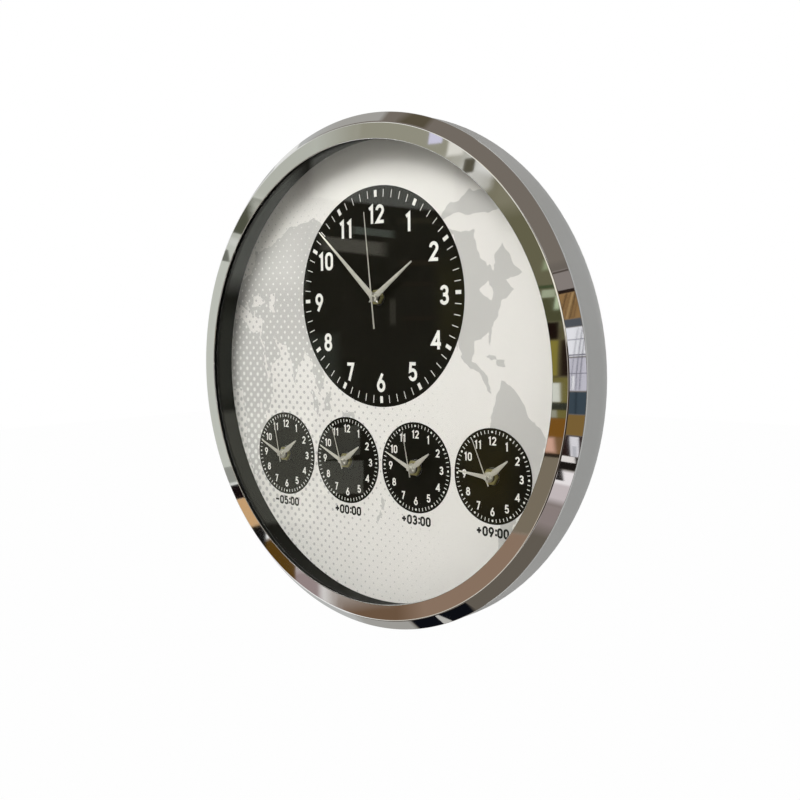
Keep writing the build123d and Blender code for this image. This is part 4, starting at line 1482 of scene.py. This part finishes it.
@dataclass
class CoverMouldings:
    """What stands out from the covers of the five movements: arrows, panels, ribs and clips."""

    shop: Workshop
    centres: dict[str, Point]
    cover_back: float = -1.0 * MM
    raised: float = 0.35 * MM
    knob_step: float = 7.07 * MM
    arrow_radius: float = 7.6 * MM
    arrow_width: float = 0.8 * MM
    arrow_start: float = math.radians(-20.0)
    arrow_sweep: float = math.radians(215.0)
    arrow_steps: int = 40
    arrow_head: float = 1.5 * MM
    panel_place: Point = (-14.5 * MM, 15.0 * MM)
    panel_size: Pair = (20.0 * MM, 14.0 * MM)
    panel_round: float = 0.14 * MM
    rib_places: tuple[float, ...] = (
        -24.0 * MM, -20.0 * MM, -16.0 * MM, 16.0 * MM, 20.0 * MM, 24.0 * MM,
    )
    rib_drop: float = 8.5 * MM
    rib_size: Pair = (1.0 * MM, 4.0 * MM)
    rib_round: float = 0.12 * MM
    clip_half_width: float = 28.35 * MM
    clip_size: Size = (0.9 * MM, 6.4 * MM, 5.0 * MM)
    clip_levels: tuple[float, ...] = (-4.0 * MM, 19.0 * MM)
    clip_round: float = 0.2 * MM
    block_facets: int = 3

    def arrow(self, shape: Shape, centre: Point) -> None:
        """Raise a curved arrow round a knob.

        Args:
            shape: Where the arrow goes.
            centre: Axis of the knob, as (x, z).
        """
        inner = self.arrow_radius - self.arrow_width / 2.0
        outer = self.arrow_radius + self.arrow_width / 2.0
        front, back = self.cover_back, self.cover_back + self.raised
        start = Matrix.Rotation(self.arrow_start, 4, "Y")
        middle = Vector((centre[0], 0.0, centre[1]))
        section = [(inner, front), (outer, front), (outer, back), (inner, back)]
        places = [middle + start @ Vector((radius, depth, 0.0)) for radius, depth in section]
        corners = [shape.verts.new(place) for place in places]
        edges = chain(shape, corners)
        spun = bmesh.ops.spin(
            shape,
            geom=corners + edges,
            cent=middle,
            axis=DEPTH_AXIS,
            angle=self.arrow_sweep,
            steps=self.arrow_steps,
        )
        last = [part for part in spun["geom_last"] if isinstance(part, bmesh.types.BMEdge)]
        bmesh.ops.holes_fill(shape, edges=edges + last, sides=len(section))
        turn = self.arrow_start + self.arrow_sweep
        tip = middle + Matrix.Rotation(turn, 4, "Y") @ Vector((self.arrow_radius, 0.0, 0.0))
        tip.y = self.cover_back + self.raised / 2.0
        plate(shape, tip, turn, self.arrow_head, 3, self.raised)

    def block(self, shape: Shape, middle: Vector, size: Size, corner: float) -> None:
        """Raise a block with rounded edges.

        Args:
            shape: Where the block goes.
            middle: Its middle.
            size: Its width, depth and height.
            corner: How far its edges are rounded.
        """
        place = Matrix.Translation(middle) @ Matrix.Diagonal((*size, 1.0))
        made = bmesh.ops.create_cube(shape, size=1.0, matrix=place)
        edges = list({edge for vertex in made["verts"] for edge in vertex.link_edges})
        bmesh.ops.bevel(
            shape,
            geom=edges,
            offset=corner,
            affect="EDGES",
            segments=self.block_facets,
            profile=0.5,
            material=-1,
        )

    def build(self) -> None:
        """Add the setting arrow, a bare raised panel, ribs and clips to every cover."""
        level = self.cover_back + self.raised / 2.0
        panel = (self.panel_size[0], self.raised, self.panel_size[1])
        rib = (self.rib_size[0], self.raised, self.rib_size[1])
        clip_depth = self.cover_back - self.clip_size[1] / 2.0
        shape = bmesh.new()
        for x, z in self.centres.values():
            self.arrow(shape, (x + self.knob_step, z + self.knob_step))
            place = Vector((x + self.panel_place[0], level, z + self.panel_place[1]))
            self.block(shape, place, panel, self.panel_round)
            for across in self.rib_places:
                place = Vector((x + across, level, z - self.rib_drop))
                self.block(shape, place, rib, self.rib_round)
            for side in (-self.clip_half_width, self.clip_half_width):
                for up in self.clip_levels:
                    place = Vector((x + side, clip_depth, z + up))
                    self.block(shape, place, self.clip_size, self.clip_round)
        self.shop.piece(shape, "cover_mouldings", ("black_moulding",), "movement_plastic")


def toward(azimuth: float, elevation: float) -> Vector:
    """Return the direction at so many degrees from the front to the right, and upwards."""
    turn, rise = math.radians(azimuth), math.radians(elevation)
    level = math.cos(rise)
    return Vector((math.sin(turn) * level, -math.cos(turn) * level, math.sin(rise)))


@dataclass(frozen=True)
class ReflectionCard:
    """A card that only polished surfaces see: directions in degrees, tone in screen values."""

    name: str
    azimuth: Pair
    elevation: Pair
    tone: tuple[int, int, int]
    layer: int = 0
    is_round: bool = False
    soft: int = 1
    slant: float = 0.0

    def cover(self, corner: bmesh.types.BMVert, cells: int) -> float:
        """Return how much the card covers at a corner of its unit sheet.

        Args:
            corner: The corner.
            cells: Number of cells across a sheet.

        Returns:
            0 at the border, and 1 from as many cells inwards as the border is soft.
        """
        if self.soft == 1:
            return 0.0 if corner.is_boundary else 1.0
        away = corner.co.length if self.is_round else max(abs(corner.co.x), abs(corner.co.y))
        return min(1.0, cells / 2.0 * (0.5 - away) / self.soft)

    def direction(self, across: float, up: float) -> Vector:
        """Return the direction of a point of the card.

        Args:
            across: Place across the unit sheet, from its middle.
            up: Place up the unit sheet, from its middle.

        Returns:
            The direction.
        """
        azimuth = self.azimuth[0] + (across + 0.5) * (self.azimuth[1] - self.azimuth[0])
        elevation = self.elevation[0] + (up + 0.5) * (self.elevation[1] - self.elevation[0])
        return toward(azimuth, elevation + across * self.slant)


@dataclass
class CardRing:
    """Cards hung round the clock, so that the chrome and the glass have something to show."""

    distance: float = 2.6
    layer_step: float = 0.03
    cells: int = 24
    round_sides: int = 64
    round_cuts: int = 7
    hidden_from: tuple[str, ...] = ("camera", "diffuse", "shadow", "volume_scatter")

    @staticmethod
    def front_cards() -> list[ReflectionCard]:
        """Return the cards that the flat front of the bezel shows, from the top clockwise."""
        card = ReflectionCard
        return [
            card("front_base", (-30, -15), (-18, 16), (88, 80, 60), -1),
            card("front_top_left", (-66, -44), (8, 32), (188, 190, 181)),
            card("front_top", (-49, -29), (12, 32), (154, 152, 136), 1, soft=3),
            card("front_streak", (-36.6, -35.1), (17.7, 18.7), (214, 212, 234), 2),
            card("front_bright", (-34.6, -32.7), (16.6, 18.2), (232, 230, 222), 2, soft=2),
            card("front_dark_spot", (-32.6, -31.5), (15.3, 16.4), (84, 80, 66), 2),
            card("front_fade", (-32, -22), (11.2, 15.5), (132, 128, 108), 2, soft=4),
            card("front_olive", (-31.2, -16), (1, 14), (106, 103, 80), 1),
            card("front_green_patch", (-24.3, -23.2), (6.4, 7.5), (150, 160, 128), 2, soft=3),
            card("front_green_line", (-26, -22.9), (4.9, 5.2), (64, 76, 50), 2),
            card("front_green_box", (-24.0, -23.0), (4.1, 4.8), (164, 172, 146), 2),
            card("front_dark_olive", (-26, -16), (1.9, 4.1), (78, 78, 54), 2),
            card("front_sliver", (-22.95, -22.5), (2.9, 4.4), (190, 204, 172), 3, soft=2),
            card("front_black", (-26, -22.45), (0.3, 1.9), (28, 18, 14), 2),
            card("front_black_edge", (-22.45, -16), (0.3, 1.9), (92, 88, 60), 2),
            card("front_yellow", (-26, -22.4), (-3.05, 0.3), (134, 124, 56), 2),
            card("front_brown_edge", (-22.4, -16), (-3.05, 0.3), (36, 26, 20), 2),
            card("front_khaki", (-26, -16), (-6.9, -3.05), (113, 105, 58), 1),
            card("front_white", (-26, -22.2), (-5.4, -3.6), (214, 216, 206), 2),
            card("front_dark_line", (-26, -16), (-6.1, -5.4), (50, 52, 44), 2),
            card("front_pale", (-26, -22.5), (-6.8, -6.1), (152, 152, 136), 2),
            card("front_gold", (-27, -16), (-8.6, -6.8), (124, 84, 32), 2),
            card("front_pink", (-24.6, -22.7), (-10.1, -8.5), (212, 168, 148), 3, soft=2),
            card("front_pink_edge", (-27, -16), (-10.1, -8.5), (122, 92, 62), 2),
            card("front_dark_gap", (-27, -22.4), (-10.4, -10.05), (34, 28, 22), 3),
            card("front_grey", (-29, -16), (-17.5, -10.1), (126, 116, 100), 1),
            card("front_brown_pink", (-42, -16), (-40, -16.5), (146, 122, 104)),
            card("front_brown", (-50.5, -38), (-40, -19), (114, 90, 70), 1, soft=3),
            card("front_grey_pink", (-54, -49.5), (-30, -19), (156, 140, 140), 2, soft=2),
            card("front_olive_brown", (-57, -52.5), (-24, -17.4), (92, 66, 24), 3),
            card("front_low_black", (-58, -55.6), (-19, -16.2), (14, 12, 10), 4),
            card("front_tan", (-59.4, -56), (-16.4, -13.8), (208, 168, 122), 4),
            card("front_left_black", (-60, -56.5), (-13.9, -12.6), (20, 12, 14), 4),
            card("front_left", (-80, -56.5), (-13, 9), (200, 203, 195)),
            card("front_left_olive", (-62, -57), (-12.4, -11.0), (150, 152, 146), 3),
            card("front_left_patch", (-61, -53), (9.3, 12.5), (84, 86, 72), 4),
            card("front_left_spot", (-61, -58.4), (6.9, 7.9), (112, 114, 106), 4),
        ]

    @staticmethod
    def glass_cards() -> list[ReflectionCard]:
        """Return the dim cards that the glass shows over the black time dials."""
        card = ReflectionCard
        return [
            card("glass_dark", (-57.5, -26.5), (-21.5, 15.5), (40, 36, 22), 3, True),
            card("glass_upper", (-47, -36.6), (8.6, 13.2), (212, 215, 206), 4, slant=-1.2),
            card(
                "glass_streak", (-46.4, -41.4), (5.4, 6.5), (196, 192, 176), 5,
                soft=2, slant=-0.6,
            ),
            card(
                "glass_streak_high", (-44.2, -40.9), (6.6, 7.2), (182, 194, 180), 5,
                soft=2, slant=-0.4,
            ),
            card("glass_shelf_a", (-41, -37.9), (7.4, 7.9), (92, 84, 62), 5, soft=3),
            card("glass_shelf_b", (-41, -37.9), (4.5, 5.0), (86, 70, 48), 5, soft=3),
            card("glass_shelf_c", (-41, -38), (3.1, 3.5), (70, 54, 38), 5, soft=3),
            card("glass_shelf_d", (-41, -38), (0.7, 1.1), (70, 54, 38), 5, soft=3),
            card("glass_post", (-41.5, -41.0), (0.3, 2.4), (134, 130, 116), 5, soft=2),
            card("glass_olive", (-38.6, -35.4), (-2, 6), (90, 82, 38), 4, soft=4),
            card("glass_low_left", (-49.4, -44.8), (-4.0, 0.1), (104, 110, 100), 4, soft=2),
            card("glass_left_high", (-56.5, -47), (2.4, 13), (222, 224, 214), 4, soft=2),
            card("glass_left", (-56, -50.4), (-6, 2.8), (116, 118, 108), 4, soft=3),
            card("glass_wall", (-53.4, -46.8), (-13.4, -5.2), (170, 170, 156), 4),
            card("glass_box", (-46.8, -43.6), (-8.9, -6.7), (160, 160, 148), 5, slant=0.5),
            card("glass_box_low", (-46.8, -43.4), (-11.4, -9.0), (184, 184, 170), 5),
            card("glass_box_lid", (-44.9, -43.4), (-10.4, -9.5), (182, 182, 170), 6),
            card("glass_right", (-37.4, -32), (-14, -6), (104, 90, 40), 4, soft=4),
        ]

    @staticmethod
    def crest_cards() -> list[ReflectionCard]:
        """Return the cards that the rounded crest and the rim show as thin lines."""
        card = ReflectionCard
        return [
            card("crest_room", (-16, 48), (-46, 34), (58, 50, 44), -1),
            card("crest_pale", (-15, 4), (-19, 5), (196, 186, 176)),
            card("crest_light", (-15.5, 34), (5.5, 25), (250, 245, 230), 1),
            card("crest_light_high", (-32, -2), (22.5, 42), (222, 216, 200), 1),
            card("crest_white", (-46, -22), (21.5, 38), (248, 247, 242), 2),
            card("crest_low", (-16, 4), (-44, -20), (206, 196, 182)),
            card("crest_lowest", (-50, -12), (-44, -28), (210, 200, 186), 2),
            card("rim_dark", (86, 114), (-50, 46), (104, 101, 96), 2),
        ]

    @staticmethod
    def bevel_cards() -> list[ReflectionCard]:
        """Return the cards of the bevel, from the top clockwise, and the wall behind the side."""
        card = ReflectionCard
        wide, slat, pane = (48, 76), (17, 25.2), (-6, 14.2)
        return [
            card("bevel_base", (44, 86), (-48, 44), (112, 105, 98), -1),
            card("bevel_ceiling", (-180, 180), (34, 90), (122, 114, 106)),
            card("bevel_top_left", (-138, -94), (4, 57), (170, 168, 164), 1),
            card("bevel_top_dark", (-98, -76), (61, 73), (92, 84, 68), 1, soft=2),
            card("bevel_streak", (-122, -115.5), (17.5, 26), (232, 232, 230), 2),
            card("bevel_line", wide, (32.0, 32.6), (84, 76, 70), 2),
            card("bevel_wall", wide, (26, 33), (140, 132, 128), 1),
            card("bevel_wood_top", wide, (25.2, 26.4), (40, 30, 26), 2),
            card("bevel_wood", wide, (16.8, 25.4), (150, 118, 78), 2),
            card("bevel_wood_a", (60.14, 60.26), slat, (56, 42, 34), 3),
            card("bevel_wood_b", (60.44, 60.52), slat, (84, 64, 48), 3),
            card("bevel_wood_c", (60.6, 60.68), slat, (196, 166, 118), 3),
            card("bevel_wood_d", (60.78, 60.9), slat, (62, 48, 38), 3),
            card("bevel_wood_e", (61.06, 61.14), slat, (92, 70, 52), 3),
            card("bevel_slate", wide, (14.4, 16.8), (84, 88, 94), 2),
            card("bevel_white", wide, (4.8, 14.4), (238, 238, 244), 2),
            card("bevel_lilac", wide, (-6.1, 4.8), (200, 198, 210), 2),
            card("bevel_pane", (61.5, 61.7), (-5.6, -1), (246, 246, 250), 3),
            card("bevel_post_a", (61.52, 61.58), pane, (120, 120, 132), 4),
            card("bevel_post_b", (61.8, 61.88), pane, (104, 104, 116), 4),
            card("bevel_post_c", (62.04, 62.12), pane, (92, 92, 104), 4),
            card("bevel_rail_a", wide, (10.2, 10.5), (156, 156, 166), 4),
            card("bevel_rail_b", wide, (5.3, 5.7), (120, 118, 130), 4),
            card("bevel_rail_c", wide, (-0.5, -0.2), (140, 138, 150), 4),
            card("bevel_navy", wide, (-13.4, -6.1), (62, 74, 84), 3),
            card("bevel_navy_line", (61.84, 61.94), (-13.4, -6.1), (40, 50, 58), 4),
            card("bevel_tan", wide, (-20.2, -13.4), (128, 102, 58), 2),
            card("bevel_brown", wide, (-27, -20.2), (44, 30, 28), 2),
            card("bevel_roll_side", (61.42, 62.08), (-27, -20.4), (226, 224, 230), 3),
            card("bevel_roll_shade", (61.6, 61.9), (-27, -23.5), (190, 190, 197), 4),
            card("bevel_roll", (60.6, 61.76), (-29, -27), (236, 230, 228), 3),
            card("bevel_black", wide, (-31.5, -27), (30, 26, 24), 2),
            card("bevel_black_low", (58.5, 60.75), (-35.4, -31.2), (30, 26, 24), 3),
            card("bevel_bright", wide, (-37, -31.5), (244, 238, 240), 2, soft=2),
            card("bevel_pink", (40, 80), (-44, -34), (206, 196, 198), 1, soft=3),
            card("bevel_mauve", (30, 84), (-56, -40), (146, 134, 132), soft=4),
            card("bevel_floor", (-180, 180), (-90, -46), (104, 97, 88), -1),
            card("bevel_low_black", (-112, -50), (-84, -63), (14, 16, 22), 2),
            card("bevel_low_patch", (-104, -94), (-76, -72.6), (190, 188, 184), 3),
            card("bevel_low_left", (-140, -98), (-64, -10), (166, 164, 160), 1),
            card("side_wall", (110, 250), (-46, 46), (184, 185, 184), 1),
        ]

    def sheet(self, card: ReflectionCard) -> bpy.types.Mesh:
        """Make the mesh of a card, curved round the clock, with its cover at every corner.

        Args:
            card: The card.

        Returns:
            The mesh.
        """
        shape = bmesh.new()
        if card.is_round:
            sides, cuts = self.round_sides, self.round_cuts
            bmesh.ops.create_circle(shape, cap_ends=True, cap_tris=True, segments=sides, radius=0.5)
            bmesh.ops.subdivide_edges(shape, edges=list(shape.edges), cuts=cuts, use_grid_fill=True)
        else:
            bmesh.ops.create_grid(shape, x_segments=self.cells, y_segments=self.cells, size=0.5)
        covers = [card.cover(corner, self.cells) for corner in shape.verts]
        distance = self.distance - self.layer_step * card.layer
        for corner in shape.verts:
            corner.co = card.direction(corner.co.x, corner.co.y) * distance
        mesh = settle(shape, card.name)
        mesh.attributes.new("cover", "FLOAT", "POINT").data.foreach_set("value", covers)
        return mesh

    def hang(self, card: ReflectionCard) -> None:
        """Hang one card, with a soft border.

        Args:
            card: The card.
        """
        mesh = self.sheet(card)
        made, bench = start_material(card.name)
        cover = bench.add("ShaderNodeAttribute", attribute_name="cover").outputs["Fac"]
        tone = opaque(shade(*card.tone))
        glow = bench.add("ShaderNodeEmission", {"Color": tone, "Strength": 1.0})
        clear = bench.add("ShaderNodeBsdfTransparent")
        bench.add("ShaderNodeOutputMaterial", {"Surface": bench.mix(cover, clear, glow)})
        mesh.materials.append(made)
        thing = stand(card.name, mesh)
        for ray in self.hidden_from:
            setattr(thing, f"visible_{ray}", False)

    def build(self) -> None:
        """Hang all cards."""
        for cards in (self.front_cards, self.glass_cards, self.crest_cards, self.bevel_cards):
            for card in cards():
                self.hang(card)


@dataclass(frozen=True)
class Lamp:
    """A soft area lamp that points at the clock and that gloss doesn't show."""

    name: str
    place: Place
    size: Pair
    power: float

    def hang(self) -> None:
        """Hang the lamp."""
        light = bpy.data.lights.new(self.name, "AREA")
        light.shape = "RECTANGLE"
        light.size, light.size_y = self.size
        light.energy = self.power
        thing = stand(self.name, light)
        thing.location = self.place
        thing.rotation_euler = (-Vector(self.place)).to_track_quat("-Z", "Y").to_euler()
        thing.visible_glossy = False


@dataclass
class Studio:
    """Camera, floor, soft light and the cards that the chrome reflects."""

    camera_place: Place = (0.58632, -0.64465, 0.04467)
    azimuth: float = 42.145
    elevation: float = 4.409
    roll: float = -0.606
    lens: float = 48.79
    sensor: float = 36.0
    nearest: float = 0.01
    floor_level: float = -3.2
    floor_size: float = 60.0
    floor_tone: Colour = (0.95, 0.95, 0.95)
    floor_roughness: float = 0.9
    floor_glow: float = 0.985
    ambient: float = 0.38
    lamps: tuple[Lamp, ...] = (
        Lamp("key_lamp", (-0.25, -1.6, 1.42), (1.0, 0.8), 33.0),
        Lamp("fill_lamp", (1.9, -0.5, 0.7), (1.2, 1.2), 7.0),
        Lamp("back_lamp", (0.3, 2.3, 0.55), (1.0, 1.0), 52.0),
    )

    def camera(self) -> None:
        """Stand the camera at the photograph's viewing angle."""
        back = toward(self.azimuth, self.elevation)
        right = (-back).cross(Vector((0.0, 0.0, 1.0))).normalized()
        up = right.cross(-back)
        turn = math.radians(self.roll)
        right, up = (
            right * math.cos(turn) + up * math.sin(turn),
            up * math.cos(turn) - right * math.sin(turn),
        )
        lens = bpy.data.cameras.new("camera")
        lens.lens = self.lens
        lens.sensor_width = self.sensor
        lens.clip_start = self.nearest
        thing = stand("camera", lens)
        basis = Matrix((right, up, back)).transposed().to_4x4()
        thing.matrix_world = Matrix.Translation(self.camera_place) @ basis
        bpy.context.scene.camera = thing

    @staticmethod
    def seen_white(bench: NodeBench) -> Socket:
        """Return 1 for rays that show the background: from the camera, off gloss and through glass.

        Args:
            bench: Bench of the tree that asks.

        Returns:
            The socket of the answer.
        """
        ray = bench.add("ShaderNodeLightPath").outputs
        shiny = bench.math("MAXIMUM", ray["Is Glossy Ray"], ray["Is Transmission Ray"])
        return bench.math("MAXIMUM", ray["Is Camera Ray"], shiny)

    def world(self) -> None:
        """Make the surroundings: white where they are seen, and a soft grey light elsewhere."""
        world = bpy.data.worlds.new("studio")
        world.use_nodes = True
        bench = NodeBench(world.node_tree)
        strength = bench.spread(self.seen_white(bench), self.ambient, 1.0)
        sky = bench.add("ShaderNodeBackground", {"Color": WHITE, "Strength": strength})
        bench.add("ShaderNodeOutputWorld", {"Surface": sky.outputs[0]})
        bpy.context.scene.world = world

    def floor(self) -> None:
        """Lay the pale floor, which shows as the white background and keeps a faint shadow."""
        shape = bmesh.new()
        place = Matrix.Translation((0.0, 0.0, self.floor_level))
        half = self.floor_size / 2.0
        bmesh.ops.create_grid(shape, x_segments=1, y_segments=1, size=half, matrix=place)
        mesh = settle(shape, "pale_floor")
        made, bench = start_material("pale_floor")
        looks = {"Base Color": opaque(self.floor_tone), "Roughness": self.floor_roughness}
        matt = bench.add("ShaderNodeBsdfPrincipled", looks)
        glow = bench.add("ShaderNodeEmission", {"Color": WHITE, "Strength": 1.0})
        share = bench.math("MULTIPLY", self.seen_white(bench), self.floor_glow)
        bench.add("ShaderNodeOutputMaterial", {"Surface": bench.mix(share, matt, glow)})
        mesh.materials.append(made)
        thing = stand("pale_floor", mesh)

    def build(self) -> None:
        """Set up the whole studio."""
        self.camera()
        self.world()
        self.floor()
        for lamp in self.lamps:
            lamp.hang()
        CardRing().build()
        bpy.context.scene.view_settings.view_transform = "Standard"
        log.info("studio ready")


def main() -> None:
    """Build the studio and the clock's pieces in order."""
    logging.basicConfig(level=logging.INFO, format="%(name)s: %(message)s")
    shop = Workshop(FinishRack())
    axes = {joint["name"]: joint["pos_m"] for joint in frame["joints"]}
    centres: dict[str, Point] = {}
    for name in (MAIN, *ZONES):
        x, _, z = axes[f"{name}_minute_spin"]
        centres[name] = (x, z)
    Studio().build()
    PackedPieces(shop).build()
    Bezel(shop).build()
    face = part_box("dial_sheet")[0].y
    WorldMap(shop, face).build()
    DialPrint(shop, centres, face).build()
    SleevedCells(shop, centres).build()
    CoverMouldings(shop, centres).build()


if __name__ == "__main__":
    main()
